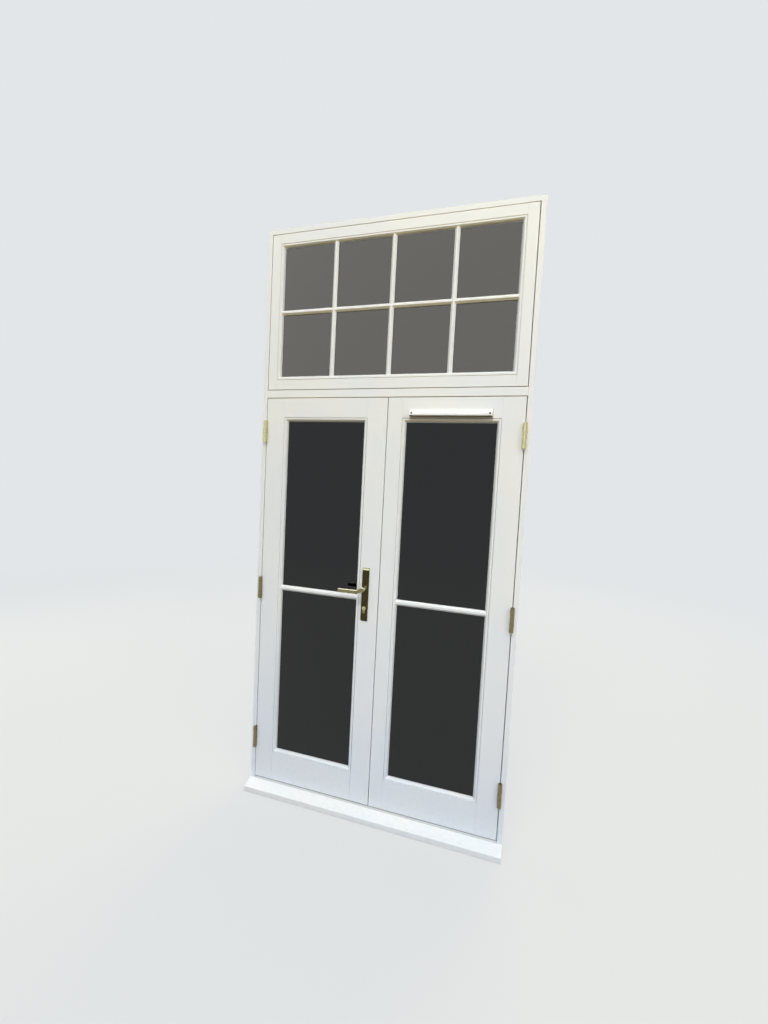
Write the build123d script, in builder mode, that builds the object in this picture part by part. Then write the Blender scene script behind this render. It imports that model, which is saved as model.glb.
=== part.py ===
from build123d import *
from math import atan2, degrees, hypot
import os

os.makedirs("parts", exist_ok=True)

# A pair of outward opening timber french doors under a fixed toplight, in a timber frame with a sill.
# Millimetres. X runs to the right seen from outside, Y runs from the outside into the room, Z is up.
# The outside faces of frame, doors and toplight lie in the plane Y = 0. The sill stands on Z = 0.

# Frame
frame_width = 1220.0
frame_depth = 94.0
frame_face = 21.0
transom_face = 35.0
sash_gap = 3.0
stop_lap = 12.0
stop_gap = 2.0
arris = 1.2
frame_tenon_thickness = 14.0
frame_tenon_inset = 12.0
jamb_tenon_length = 12.0
transom_tenon_length = 10.0

# Sill
sill_seat = 50.5
sill_weather_top = 40.0
sill_projection = 56.0
sill_nose_height = 26.5
sill_nose_round = 3.0
drip_width = 6.0
drip_depth = 5.0
drip_from_nose = 9.0

# Sashes
sash_thickness = 57.0
door_height = 1857.0
toplight_height = 704.5
meeting_line = 10.5
meeting_bevel = 1.5
door_stile = 91.0
passive_meeting_stile = 65.0
door_top_rail = 88.0
door_bottom_rail = 138.0
toplight_stile = 44.0
toplight_top_rail = 42.0
toplight_bottom_rail = 45.0
tenon_thickness = 16.0
tenon_front = 20.0
tenon_inset = 10.0
door_tenon_length = 45.0
toplight_tenon_length = 28.0
splay_width = 8.0
splay_depth = 9.0

# Glazing
bead_width = 15.0
bead_depth = 15.0
quirk_width = 1.75
quirk_depth = 6.0
bead_set_back = 0.5
bead_flat = 6.75
bead_step = 1.5
bead_bulge = 1.5
bead_foot = 4.0
pane_thickness = 4.0
pane_cavity = 16.0
pane_clearance = 3.0
spacer_width = 11.0
spacer_bar_width = 10.0
door_bar_width = 25.0
door_bar_flat = 9.0
toplight_bar_width = 21.5
toplight_bar_flat = 6.0
bar_foot = 4.0
bar_outer_depth = 11.5
bar_inner_depth = 13.0
door_bar_height = 1013.0
toplight_bar_columns = 4

# Weather seals
seal_stem = 3.0
seal_stem_depth = 5.0
seal_bulb = 8.0
seal_clearance = 0.3
meeting_seal_depth = 48.0
meeting_seal_bulb = 5.0
meeting_seal_proud = 1.0
meeting_seal_stem_depth = 4.0

# Butt hinges
hinge_length = 102.0
hinge_top_drop = 156.0
hinge_bottom_rise = 204.0
hinge_plate = 2.5
hinge_plate_depth = 30.0
knuckle_radius = 8.5
knuckle_count = 5
knuckle_gap = 0.3
pin_radius = 3.0
pin_clearance = 0.05
pin_proud = 10.25
pin_button_radius = 4.6
pin_button_height = 2.6
hinge_web_front = 4.0
hinge_web_back = 1.0
hinge_screw_radius = 2.3
hinge_screw_head = 4.4
hinge_screw_rise = 34.0
hinge_screw_near = 11.0
hinge_screw_far = 21.0

# Handle set
backset = 61.0
lever_height = 1064.0
cylinder_drop = 92.0
plate_width = 31.0
plate_rise = 91.0
plate_drop = 153.0
plate_thickness = 8.0
plate_bevel = 1.5
plate_end_run = 12.0
plate_end_radius = 14.0
handle_bolt_spacing = 215.0
handle_bolt_radius = 2.5
handle_bolt_head = 5.0
handle_bolt_head_depth = 2.5
handle_bolt_blind = 4.0
lever_reach = 115.0
lever_arm_height = 19.0
lever_tip_height = 16.0
lever_arm_thickness = 11.0
lever_arm_drop = 12.0
lever_standoff = 42.0
lever_neck_radius = 8.5
lever_collar_radius = 9.5
lever_collar_length = 6.0
lever_head_radius = 11.5
lever_round = 3.5
lever_swoop = 30.0
turning_clearance = 0.3
spindle_size = 8.0
spindle_hole_radius = 10.0
spindle_engagement = 22.0

# Cylinder with its inside turn
cylinder_radius = 8.5
cylinder_web = 10.0
cylinder_height = 33.0
cylinder_proud = 3.0
cylinder_clearance = 0.5
plug_radius = 6.6
cam_radius = 15.0
cam_width = 10.0
cam_lobe = 8.0
cam_slot = 11.0
cam_slot_floor = 16.0
turn_neck_radius = 5.0
turn_neck_length = 4.0
turn_width = 24.0
turn_thickness = 9.0
turn_length = 18.0
keyway_width = 1.6
keyway_height = 8.0
keyway_depth = 20.0

# Lock, let into the active door's meeting stile
case_thickness = 16.0
case_depth = 84.0
case_rise = 61.0
case_drop = 129.0
case_wall = 1.5
follower_radius = 8.8
follower_hole = 9.1
follower_lug = 13.0
follower_lug_width = 7.0
faceplate_thickness = 3.0
faceplate_width = 20.0
faceplate_height = 240.0
faceplate_set_back = 1.1
strip_screw_inset = 10.0
strip_screw_radius = 2.3
strip_screw_head = 4.4
latch_rise = 32.0
latch_height = 16.0
latch_length = 38.0
latch_bevel = 9.0
deadbolt_drop = 54.0
deadbolt_height = 22.0
deadbolt_length = 58.0
deadbolt_throw = 20.0
bolt_clearance = 0.3
strike_thickness = 2.5
strike_rise = 61.0
strike_drop = 100.0
strike_set_back = 1.2
strike_hole_margin = 2.0
strike_pocket = 28.0

# Flush bolts on the passive door's inner face
rod_radius = 5.0
rod_clearance = 0.3
rod_from_face = 12.0
rod_from_edge = 33.0
rod_length = 150.0
rod_set_back = 0.5
rod_travel = 18.0
thumb_radius = 3.7
thumb_proud = 8.0
thumb_from_end = 120.0
bolt_plate_width = 20.0
bolt_plate_height = 150.0
bolt_plate_thickness = 2.5
bolt_plate_from_end = 25.0
keep_width = 24.0
keep_thickness = 2.5
keep_hole_radius = 5.8
keep_bore_depth = 25.0

# Trickle vent through the passive door's top rail
vent_offset = -1.5
canopy_width = 346.0
canopy_height = 29.0
canopy_drop = 50.5
canopy_depth = 25.0
canopy_crown = 6.0
canopy_lip = 7.0
canopy_wall = 2.0
canopy_round = 2.5
canopy_end = 17.0
canopy_screw_inset = 9.5
canopy_screw_rise = 10.0
canopy_screw_radius = 2.0
canopy_screw_head = 4.4
canopy_screw_seat = 15.0
vent_slot_width = 140.0
vent_slot_height = 12.0
vent_slot_spacing = 160.0
vent_slot_count = 2
controller_height = 28.0
controller_depth = 13.0
controller_wall = 2.0
controller_front = 2.5
ledge = 2.0
shutter_thickness = 2.5
shutter_clearance = 0.3
shutter_length = 306.0
shutter_travel = 8.0
grille_slot_width = 8.0
grille_slot_height = 16.0
grille_slot_pitch = 16.0
grille_slots_each_side = 8
grille_first_slot = 26.0
nib_width = 8.0
nib_height = 6.0
nib_proud = 4.0
nib_clearance = 0.5

# Fixing holes through the jambs
fixing_radius = 4.0
fixing_from_back = 16.0
fixing_from_foot = 250.0
fixing_from_top = 330.0
fixing_inner_spacing = 700.0

# Planes and heights that follow from the sizes above
frame_half = frame_width / 2
opening_half = frame_half - frame_face
sash_half = opening_half - sash_gap
stop_half = sash_half - stop_lap
stop_front = sash_thickness + stop_gap
door_bottom = sill_seat + sash_gap
door_top = door_bottom + door_height
transom_bottom = door_top + sash_gap
transom_top = transom_bottom + transom_face
toplight_bottom = transom_top + sash_gap
toplight_top = toplight_bottom + toplight_height
head_bottom = toplight_top + sash_gap
frame_height = head_bottom + frame_face
glass_front = bead_depth
inner_pane_front = glass_front + pane_thickness + pane_cavity
rebate_depth = inner_pane_front + pane_thickness
splay_angle = degrees(atan2(splay_width, splay_depth))
hinge_heights = (door_bottom + hinge_bottom_rise,
                 (door_bottom + hinge_bottom_rise + door_top - hinge_top_drop) / 2,
                 door_top - hinge_top_drop)
fixing_middle = (fixing_from_foot + frame_height - fixing_from_top) / 2
fixing_heights = (fixing_from_foot, fixing_middle - fixing_inner_spacing / 2,
                  fixing_middle + fixing_inner_spacing / 2, frame_height - fixing_from_top)
pin_x = (opening_half + sash_half) / 2
pin_y = -pin_proud
middle = sash_thickness / 2


class Sash:
    """The outline of one sash and the widths of its four members seen from outside."""

    def __init__(self, name, left, right, bottom, top, stiles, rails, bevels, tenon_length, bar, bar_columns,
                 bar_heights):
        self.name = name
        self.left, self.right, self.bottom, self.top = left, right, bottom, top
        self.stiles, self.rails, self.bevels = stiles, rails, bevels
        self.tenon_length = tenon_length
        self.rebate = (left + stiles[0], right - stiles[1], bottom + rails[0], top - rails[1])
        self.sight = (self.rebate[0] + bead_width, self.rebate[1] - bead_width,
                      self.rebate[2] + bead_width, self.rebate[3] - bead_width)
        self.pane = (self.rebate[0] + pane_clearance, self.rebate[1] - pane_clearance,
                     self.rebate[2] + pane_clearance, self.rebate[3] - pane_clearance)
        self.bar_width, self.bar_flat = bar
        pitch = (self.sight[1] - self.sight[0] + self.bar_width) / bar_columns
        self.bar_lines = [self.sight[0] - self.bar_width / 2 + pitch * i for i in range(1, bar_columns)]
        self.bar_heights = bar_heights


left_door = Sash("left", -sash_half, meeting_line - sash_gap / 2, door_bottom, door_top,
                 (door_stile, door_stile), (door_bottom_rail, door_top_rail), (0, meeting_bevel),
                 door_tenon_length, (door_bar_width, door_bar_flat), 1, [door_bar_height])
right_door = Sash("right", meeting_line + sash_gap / 2, sash_half, door_bottom, door_top,
                  (passive_meeting_stile, door_stile), (door_bottom_rail, door_top_rail), (meeting_bevel, 0),
                  door_tenon_length, (door_bar_width, door_bar_flat), 1, [door_bar_height])
toplight = Sash("toplight", -sash_half, sash_half, toplight_bottom, toplight_top,
                (toplight_stile, toplight_stile), (toplight_bottom_rail, toplight_top_rail), (0, 0),
                toplight_tenon_length, (toplight_bar_width, toplight_bar_flat), toplight_bar_columns,
                [(toplight_bottom + toplight_bottom_rail + toplight_top - toplight_top_rail) / 2])

handle_x = left_door.right - backset
cylinder_z = lever_height - cylinder_drop
rod_x = right_door.left + rod_from_edge
rod_y = sash_thickness - rod_from_face
vent_x = (right_door.sight[0] + right_door.sight[1]) / 2 + vent_offset
canopy_top = door_top - canopy_drop
vent_z = canopy_top - canopy_height / 2
lock_front = left_door.right - faceplate_set_back
strike_front = right_door.left + strike_set_back


def save(part, name):
    """Labels a finished piece and writes it under its own name."""
    part.label = name
    export_step(part, f"parts/{name}.step")


def across(y):
    """The plane facing the outside at depth y, with X to the right and Z up. Its normal points outwards."""
    return Plane.XZ.offset(-y)


def block(low, high, mode=Mode.ADD):
    """A box between two opposite corners."""
    with Locations(tuple((a + b) / 2 for a, b in zip(low, high))):
        Box(*(abs(b - a) for a, b in zip(low, high)), mode=mode)


def outline(points):
    """A closed face through the points, in the sketch that is open."""
    Polygon(*points, align=None)


def window(left, right, bottom, top, mode=Mode.ADD):
    """An upright rectangle between two X and two Z values, in a sketch that faces the outside."""
    with Locations(((left + right) / 2, (bottom + top) / 2)):
        Rectangle(right - left, top - bottom, mode=mode)


def seal_ring(sash_bottom, sash_top, width, front, back, mode=Mode.ADD):
    """A rectangular ring in the face of the stops, centred on the lap behind a sash."""
    half = sash_half - stop_lap / 2
    low, high = sash_bottom + stop_lap / 2, sash_top - stop_lap / 2
    with BuildSketch(across(front)) as ring:
        window(-half - width / 2, half + width / 2, low - width / 2, high + width / 2)
        window(-half + width / 2, half - width / 2, low + width / 2, high - width / 2, Mode.SUBTRACT)
    extrude(ring.sketch, amount=front - back, mode=mode)


def cut_seal_grooves():
    """The grooves that hold the two frame seals, cut in whichever frame member is open."""
    for low, high in ((door_bottom, door_top), (toplight_bottom, toplight_top)):
        seal_ring(low, high, seal_stem, stop_front, stop_front + seal_stem_depth, Mode.SUBTRACT)


def frame_tenon(low, high, mode=Mode.ADD):
    """A stub tenon between frame members, set in from both faces of the front part of the section."""
    block((low[0], frame_tenon_inset, low[1]), (high[0], stop_front - frame_tenon_inset, high[1]), mode)


def jamb_tenon(side, foot, mode=Mode.ADD):
    """The stub tenon at a jamb's foot or head."""
    face_centre = side * (frame_half - frame_face / 2)
    start = sill_weather_top - jamb_tenon_length if foot else head_bottom
    frame_tenon((face_centre - frame_tenon_thickness / 2, start),
                (face_centre + frame_tenon_thickness / 2, start + jamb_tenon_length), mode)


def transom_tenon(side, mode=Mode.ADD):
    """The stub tenon at one end of the transom."""
    centre = (transom_bottom + transom_top) / 2
    ends = sorted((side * opening_half, side * (opening_half + transom_tenon_length)))
    frame_tenon((ends[0], centre - frame_tenon_thickness / 2),
                (ends[1], centre + frame_tenon_thickness / 2), mode)


def make_jamb(side, name):
    """A jamb: the face beside the sashes and the stop that reaches in behind them."""
    with BuildPart() as jamb:
        with BuildSketch(Plane.XY.offset(sill_weather_top)):
            outline([(side * frame_half, 0), (side * (opening_half + arris), 0), (side * opening_half, arris),
                     (side * opening_half, stop_front), (side * stop_half, stop_front),
                     (side * stop_half, frame_depth), (side * frame_half, frame_depth)])
        extrude(amount=head_bottom - sill_weather_top)
        jamb_tenon(side, True)
        jamb_tenon(side, False)
        transom_tenon(side, Mode.SUBTRACT)
        cut_seal_grooves()
        for height in hinge_heights:
            block((side * opening_half, 0, height - hinge_length / 2),
                  (side * (opening_half + hinge_plate), hinge_plate_depth, height + hinge_length / 2), Mode.SUBTRACT)
        for height in fixing_heights:
            with Locations(Plane(origin=(side * frame_half, frame_depth - fixing_from_back, height), z_dir=(side, 0, 0))):
                Hole(fixing_radius, depth=frame_face + sash_gap + stop_lap)
    save(jamb.part, name)


make_jamb(-1, "jamb_left")
make_jamb(1, "jamb_right")

with BuildPart() as head:
    with BuildSketch(Plane.YZ.offset(-frame_half)):
        outline([(0, head_bottom), (0, frame_height), (frame_depth, frame_height), (frame_depth, head_bottom)])
    extrude(amount=frame_width)
    block((-stop_half, stop_front, head_bottom - sash_gap - stop_lap), (stop_half, frame_depth, head_bottom))
    for side in (-1, 1):
        jamb_tenon(side, False, Mode.SUBTRACT)
    cut_seal_grooves()
save(head.part, "head")

with BuildPart() as transom:
    block((-opening_half, 0, transom_bottom), (opening_half, stop_front, transom_top))
    chamfer(transom.edges().filter_by(Axis.X).group_by(Axis.Y)[0], arris)
    block((-stop_half, stop_front, transom_bottom - sash_gap - stop_lap),
          (stop_half, frame_depth, transom_top + sash_gap + stop_lap))
    for side in (-1, 1):
        transom_tenon(side)
    cut_seal_grooves()
    with Locations((rod_x, rod_y, transom_bottom)):
        Cylinder(rod_radius + 2 * rod_clearance, keep_thickness + keep_bore_depth,
                 align=(Align.CENTER, Align.CENTER, Align.MIN), mode=Mode.SUBTRACT)
    block((rod_x - bolt_plate_width / 2, rod_y - keep_width / 2, transom_bottom),
          (rod_x + bolt_plate_width / 2, rod_y + keep_width / 2, transom_bottom + keep_thickness), Mode.SUBTRACT)
save(transom.part, "transom")

with BuildPart() as sill:
    with BuildSketch(Plane.YZ.offset(-frame_half)):
        outline([(-sill_projection, 0), (-sill_projection, sill_nose_height), (0, sill_weather_top),
                 (frame_depth, sill_weather_top), (frame_depth, 0)])
    extrude(amount=frame_width)
    nose = sill.edges().filter_by(Axis.X).group_by(Axis.Y)[0]
    fillet(nose, sill_nose_round)
    with BuildSketch(Plane.YZ.offset(-opening_half)):
        outline([(0, sill_weather_top), (0, sill_seat - arris), (arris, sill_seat), (stop_front, sill_seat),
                 (stop_front, sill_weather_top)])
    extrude(amount=2 * opening_half)
    block((-stop_half, stop_front, sill_weather_top), (stop_half, frame_depth, door_bottom + stop_lap))
    drip_front = drip_from_nose - sill_projection
    block((-frame_half, drip_front, 0), (frame_half, drip_front + drip_width, drip_depth), Mode.SUBTRACT)
    for side in (-1, 1):
        jamb_tenon(side, True, Mode.SUBTRACT)
    cut_seal_grooves()
    with Locations((rod_x, rod_y, sill_seat)):
        Cylinder(rod_radius + 2 * rod_clearance, keep_thickness + keep_bore_depth,
                 align=(Align.CENTER, Align.CENTER, Align.MAX), mode=Mode.SUBTRACT)
    block((rod_x - bolt_plate_width / 2, rod_y - keep_width / 2, sill_seat - keep_thickness),
          (rod_x + bolt_plate_width / 2, rod_y + keep_width / 2, sill_seat), Mode.SUBTRACT)
save(sill.part, "sill")

# Each seal is a stem pressed into its groove and a bulb that stands just clear of the closed sash.
with BuildPart() as frame_seals:
    for low, high in ((door_bottom, door_top), (toplight_bottom, toplight_top)):
        seal_ring(low, high, seal_bulb, sash_thickness + seal_clearance, stop_front)
        seal_ring(low, high, seal_stem, stop_front, stop_front + seal_stem_depth)
save(frame_seals.part, "frame_seals")


def cut_splay(sash):
    """The splayed moulding round the inside of a sash opening, mitred where stiles and rails meet."""
    left, right, bottom, top = sash.sight
    with BuildSketch(across(sash_thickness)) as splay:
        window(left - splay_width, right + splay_width, bottom - splay_width, top + splay_width)
    extrude(splay.sketch, amount=splay_depth, taper=splay_angle, mode=Mode.SUBTRACT)


def rail_tenon(sash, side, place, mode):
    """A rail's tenon, or its mortise in the stile. side is 0 left or 1 right, place is 0 bottom or 1 top."""
    shoulder = sash.rebate[side]
    end = shoulder + (-1, 1)[side] * sash.tenon_length
    edge = (sash.bottom, sash.top)[place]
    inward = (1, -1)[place]
    low = edge + inward * tenon_inset
    high = edge + inward * (sash.rails[place] - tenon_inset)
    block((shoulder, tenon_front, low), (end, tenon_front + tenon_thickness, high), mode)


def stile_blank(sash, side):
    """A stile over the sash's full height, rebated for the glass, in the part that is open."""
    edge = (sash.left, sash.right)[side]
    inward = (1, -1)[side]
    width, bevel = sash.stiles[side], sash.bevels[side]
    with BuildSketch(Plane.XY.offset(sash.bottom)) as section:
        outline([(edge + inward * arris, 0), (edge + inward * (width - arris), 0), (edge + inward * width, arris),
                 (edge + inward * width, rebate_depth), (edge + inward * (width + bead_width), rebate_depth),
                 (edge + inward * (width + bead_width), sash_thickness), (edge + inward * bevel, sash_thickness),
                 (edge + inward * bevel * arris / sash_thickness, arris)])
    extrude(section.sketch, amount=sash.top - sash.bottom)
    for place in (0, 1):
        rail_tenon(sash, side, place, Mode.SUBTRACT)
    cut_splay(sash)


def cut_hinge_recesses(side):
    """The three recesses in the hinge edge of a door. side is -1 left or 1 right."""
    for height in hinge_heights:
        block((side * sash_half, 0, height - hinge_length / 2),
              (side * (sash_half - hinge_plate), hinge_plate_depth, height + hinge_length / 2), Mode.SUBTRACT)


def make_rail(sash, place, extra=None):
    """A rail between the stiles, with a tenon at each end and a V joint at its shoulders."""
    edge = (sash.bottom, sash.top)[place]
    inward = (1, -1)[place]
    height = sash.rails[place]
    start, end = sash.rebate[0], sash.rebate[1]
    with BuildPart() as rail:
        with BuildSketch(Plane.YZ.offset(start)):
            outline([(0, edge), (0, edge + inward * (height - arris)), (arris, edge + inward * height),
                     (rebate_depth, edge + inward * height), (rebate_depth, edge + inward * (height + bead_width)),
                     (sash_thickness, edge + inward * (height + bead_width)), (sash_thickness, edge)])
        extrude(amount=end - start)
        chamfer(rail.edges().filter_by(Axis.Z).group_by(Axis.Y)[0], arris)
        for shoulder, step in ((start, bead_width), (end, -bead_width)):
            block((shoulder, rebate_depth, edge), (shoulder + step, sash_thickness,
                                                   edge + inward * (height + bead_width)), Mode.SUBTRACT)
        cut_splay(sash)
        for side in (0, 1):
            rail_tenon(sash, side, place, Mode.ADD)
        if extra:
            extra()
    save(rail.part, f"{sash.name}_rail_{('bottom', 'top')[place]}")


# A bead's section, as distance in from the rebate and depth. It starts with the three points of its moulded round.
round_start = (quirk_width + bead_flat, bead_set_back + bead_step)
round_end = (bead_width, bead_depth - bead_foot)
round_run, round_fall = round_end[0] - round_start[0], round_end[1] - round_start[1]
round_middle = (round_start[0] + round_run / 2 + bead_bulge * round_fall / hypot(round_run, round_fall),
                round_start[1] + round_fall / 2 - bead_bulge * round_run / hypot(round_run, round_fall))
bead_profile = [round_start, round_middle, round_end, (bead_width, bead_depth), (0, bead_depth),
                (0, quirk_depth), (quirk_width, quirk_depth), (quirk_width, bead_set_back),
                (quirk_width + bead_flat, bead_set_back)]


def make_beads(sash):
    """Four ovolo beads with a quirk beside the stile or rail, mitred at the corners."""
    left, right, bottom, top = sash.rebate
    s_left, s_right, s_bottom, s_top = sash.sight
    sides = ((0, [(left, bottom), (s_left, s_bottom), (s_left, s_top), (left, top)]),
             (1, [(right, bottom), (s_right, s_bottom), (s_right, s_top), (right, top)]),
             (2, [(left, bottom), (right, bottom), (s_right, s_bottom), (s_left, s_bottom)]),
             (3, [(left, top), (right, top), (s_right, s_top), (s_left, s_top)]))
    beads = []
    for index, mitres in sides:
        edge = sash.rebate[index]
        inward = (1, -1, 1, -1)[index]
        upright = index < 2
        points = [(edge + inward * u, y) if upright else (y, edge + inward * u) for u, y in bead_profile]
        with BuildPart() as bead:
            with BuildSketch(Plane.XY.offset(bottom) if upright else Plane.YZ.offset(left)):
                with BuildLine():
                    ThreePointArc(*points[:3])
                    Polyline(*points[2:], points[0])
                make_face()
            extrude(amount=top - bottom if upright else right - left)
            with BuildSketch(across(0)):
                outline(mitres)
            extrude(amount=-bead_depth, mode=Mode.INTERSECT)
        beads.append(bead.part.solid())
    save(Compound(children=beads), f"{sash.name}_beads")
    return beads


def bar_section(sash, foot, crown, line):
    """The splayed section of an applied bar: foot is the glass face, crown the face that is seen."""
    lean = bar_foot if crown > foot else -bar_foot
    half, flat = sash.bar_width / 2, sash.bar_flat / 2
    return [(line - half, foot), (line - half, foot + lean), (line - flat, crown), (line + flat, crown),
            (line + half, foot + lean), (line + half, foot)]


def bar_grid(sash, beads=None):
    """The bars on one side of the glass: scribed to the beads outside, or else to the splayed members inside."""
    left, right, bottom, top = sash.sight
    foot = glass_front if beads else rebate_depth
    crown = glass_front - bar_outer_depth if beads else rebate_depth + bar_inner_depth
    overlap = bead_width - quirk_width - bead_flat if beads else bead_width
    with BuildPart() as cavity:
        with BuildSketch(across(sash_thickness)):
            window(left - splay_width, right + splay_width, bottom - splay_width, top + splay_width)
        extrude(amount=splay_depth, taper=splay_angle)
        with BuildSketch(across(sash_thickness - splay_depth)):
            window(left, right, bottom, top)
        extrude(amount=sash_thickness - splay_depth - rebate_depth)
    with BuildPart() as grid:
        for line in sash.bar_lines:
            with BuildSketch(Plane.XY.offset(bottom - overlap)):
                outline(bar_section(sash, foot, crown, line))
            extrude(amount=top - bottom + 2 * overlap)
        for height in sash.bar_heights:
            with BuildSketch(Plane.YZ.offset(left - overlap)):
                outline([(y, z) for z, y in bar_section(sash, foot, crown, height)])
            extrude(amount=right - left + 2 * overlap)
        if beads:
            add(beads, mode=Mode.SUBTRACT)
        else:
            add(cavity.part, mode=Mode.INTERSECT)
    return grid.part


def make_glass(sash):
    """The two panes of the double glazed unit, and the spacer frame between them with its bars."""
    left, right, bottom, top = sash.pane
    with BuildPart() as panes:
        for front in (glass_front, inner_pane_front):
            with BuildSketch(across(front)):
                window(left, right, bottom, top)
            extrude(amount=-pane_thickness)
    save(panes.part, f"{sash.name}_glass")
    with BuildPart() as spacer:
        with BuildSketch(across(glass_front + pane_thickness)):
            window(left, right, bottom, top)
            window(left + spacer_width, right - spacer_width, bottom + spacer_width, top - spacer_width, Mode.SUBTRACT)
            for line in sash.bar_lines:
                window(line - spacer_bar_width / 2, line + spacer_bar_width / 2, bottom, top)
            for height in sash.bar_heights:
                window(left, right, height - spacer_bar_width / 2, height + spacer_bar_width / 2)
        extrude(amount=-pane_cavity)
    save(spacer.part, f"{sash.name}_spacer")


# Toplight, a fixed sash
for side, side_name in ((0, "left"), (1, "right")):
    with BuildPart() as toplight_member:
        stile_blank(toplight, side)
    save(toplight_member.part, f"toplight_stile_{side_name}")
make_rail(toplight, 0)
make_rail(toplight, 1)
toplight_beads = make_beads(toplight)
make_glass(toplight)
save(bar_grid(toplight, toplight_beads), "toplight_bars_outer")
save(bar_grid(toplight), "toplight_bars_inner")

# Beads, bars and glass of the two doors
for door in (left_door, right_door):
    door_beads = make_beads(door)
    make_glass(door)
    save(Compound(children=[bar_grid(door, door_beads).solid(), bar_grid(door).solid()]), f"{door.name}_bars")
make_rail(left_door, 0)
make_rail(left_door, 1)
make_rail(right_door, 0)


def cut_vent_slots():
    """The two slots that carry air through the passive door's top rail."""
    with BuildSketch(across(0)) as slots:
        with Locations((vent_x, vent_z)):
            with GridLocations(vent_slot_spacing, 1, vent_slot_count, 1):
                SlotOverall(vent_slot_width, vent_slot_height)
    extrude(slots.sketch, amount=-sash_thickness, mode=Mode.SUBTRACT)


make_rail(right_door, 1, cut_vent_slots)

with BuildPart() as left_stile_hinge:
    stile_blank(left_door, 0)
    cut_hinge_recesses(-1)
save(left_stile_hinge.part, "left_stile_hinge")

with BuildPart() as right_stile_hinge:
    stile_blank(right_door, 1)
    cut_hinge_recesses(1)
save(right_stile_hinge.part, "right_stile_hinge")


# Cylinder outline: a round barrel over a narrow web with a round foot
def cylinder_outline(clearance=0.0):
    """The outline of the cylinder, grown by a clearance, in the sketch that is open."""
    foot_radius = cylinder_web / 2
    foot_drop = cylinder_height - cylinder_radius - foot_radius
    with Locations((handle_x, cylinder_z)):
        Circle(cylinder_radius + clearance)
    with Locations((handle_x, cylinder_z - foot_drop)):
        Circle(foot_radius + clearance)
    with Locations((handle_x, cylinder_z - foot_drop / 2)):
        Rectangle(cylinder_web + 2 * clearance, foot_drop)


handle_bolt_heights = (lever_height + (plate_rise - plate_drop) / 2 - handle_bolt_spacing / 2,
                       lever_height + (plate_rise - plate_drop) / 2 + handle_bolt_spacing / 2)
case_bottom = lever_height - case_drop
case_top = lever_height + case_rise
case_front = lock_front - faceplate_thickness
case_back = case_front - case_depth
faceplate_bottom = (case_bottom + case_top - faceplate_height) / 2
latch_z = lever_height + latch_rise
deadbolt_z = lever_height - deadbolt_drop

with BuildPart() as left_stile_meeting:
    stile_blank(left_door, 1)
    block((case_back - bolt_clearance, middle - case_thickness / 2, case_bottom - bolt_clearance),
          (left_door.right, middle + case_thickness / 2, case_top + bolt_clearance), Mode.SUBTRACT)
    block((case_front, middle - faceplate_width / 2, faceplate_bottom),
          (left_door.right, middle + faceplate_width / 2, faceplate_bottom + faceplate_height), Mode.SUBTRACT)
    with BuildSketch(across(0)):
        cylinder_outline(cylinder_clearance)
        with Locations((handle_x, lever_height)):
            Circle(spindle_hole_radius)
        for height in handle_bolt_heights:
            with Locations((handle_x, height)):
                Circle(handle_bolt_radius + cylinder_clearance)
    extrude(amount=-sash_thickness, mode=Mode.SUBTRACT)
save(left_stile_meeting.part, "left_stile_meeting")

meeting_seal_x = right_door.left + meeting_bevel * meeting_seal_depth / sash_thickness
bolt_ends = ((door_top, -1), (door_bottom, 1))

with BuildPart() as right_stile_meeting:
    stile_blank(right_door, 0)
    block((right_door.left, middle - faceplate_width / 2, lever_height - strike_drop),
          (strike_front + strike_thickness, middle + faceplate_width / 2, lever_height + strike_rise), Mode.SUBTRACT)
    for height, size in ((latch_z, latch_height), (deadbolt_z, deadbolt_height)):
        block((strike_front, middle - case_thickness / 2, height - size / 2 - strike_hole_margin),
              (strike_front + strike_pocket, middle + case_thickness / 2, height + size / 2 + strike_hole_margin),
              Mode.SUBTRACT)
    block((right_door.left, meeting_seal_depth - seal_stem / 2, door_bottom),
          (meeting_seal_x + meeting_seal_stem_depth, meeting_seal_depth + seal_stem / 2, door_top), Mode.SUBTRACT)
    for end, inward in bolt_ends:
        bore_end = end + inward * (rod_length + rod_travel)
        with Locations((rod_x, rod_y, (end + bore_end) / 2)):
            Cylinder(rod_radius + rod_clearance, rod_length + rod_travel, mode=Mode.SUBTRACT)
        block((rod_x - bolt_plate_width / 2, sash_thickness - bolt_plate_thickness,
               end + inward * bolt_plate_from_end),
              (rod_x + bolt_plate_width / 2, sash_thickness,
               end + inward * (bolt_plate_from_end + bolt_plate_height)), Mode.SUBTRACT)
        thumb = end + inward * thumb_from_end
        with BuildSketch(across(sash_thickness)):
            window(rod_x - thumb_radius - 2 * rod_clearance, rod_x + thumb_radius + 2 * rod_clearance,
                   min(thumb, thumb - inward * rod_travel) - thumb_radius - 2 * rod_clearance,
                   max(thumb, thumb - inward * rod_travel) + thumb_radius + 2 * rod_clearance)
        extrude(amount=rod_from_face, mode=Mode.SUBTRACT)
save(right_stile_meeting.part, "right_stile_meeting")

with BuildPart() as meeting_seal:
    with BuildSketch(Plane.XY.offset(door_bottom)):
        half = meeting_seal_bulb / 2
        rise = meeting_bevel * half / sash_thickness
        outline([(meeting_seal_x - rise, meeting_seal_depth - half),
                 (meeting_seal_x - meeting_seal_proud, meeting_seal_depth - seal_stem / 2),
                 (meeting_seal_x - meeting_seal_proud, meeting_seal_depth + seal_stem / 2),
                 (meeting_seal_x + rise, meeting_seal_depth + half)])
        window(meeting_seal_x - meeting_seal_proud, meeting_seal_x + meeting_seal_stem_depth,
               meeting_seal_depth - seal_stem / 2, meeting_seal_depth + seal_stem / 2)
    extrude(amount=door_height)
save(meeting_seal.part, "meeting_seal")


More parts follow.
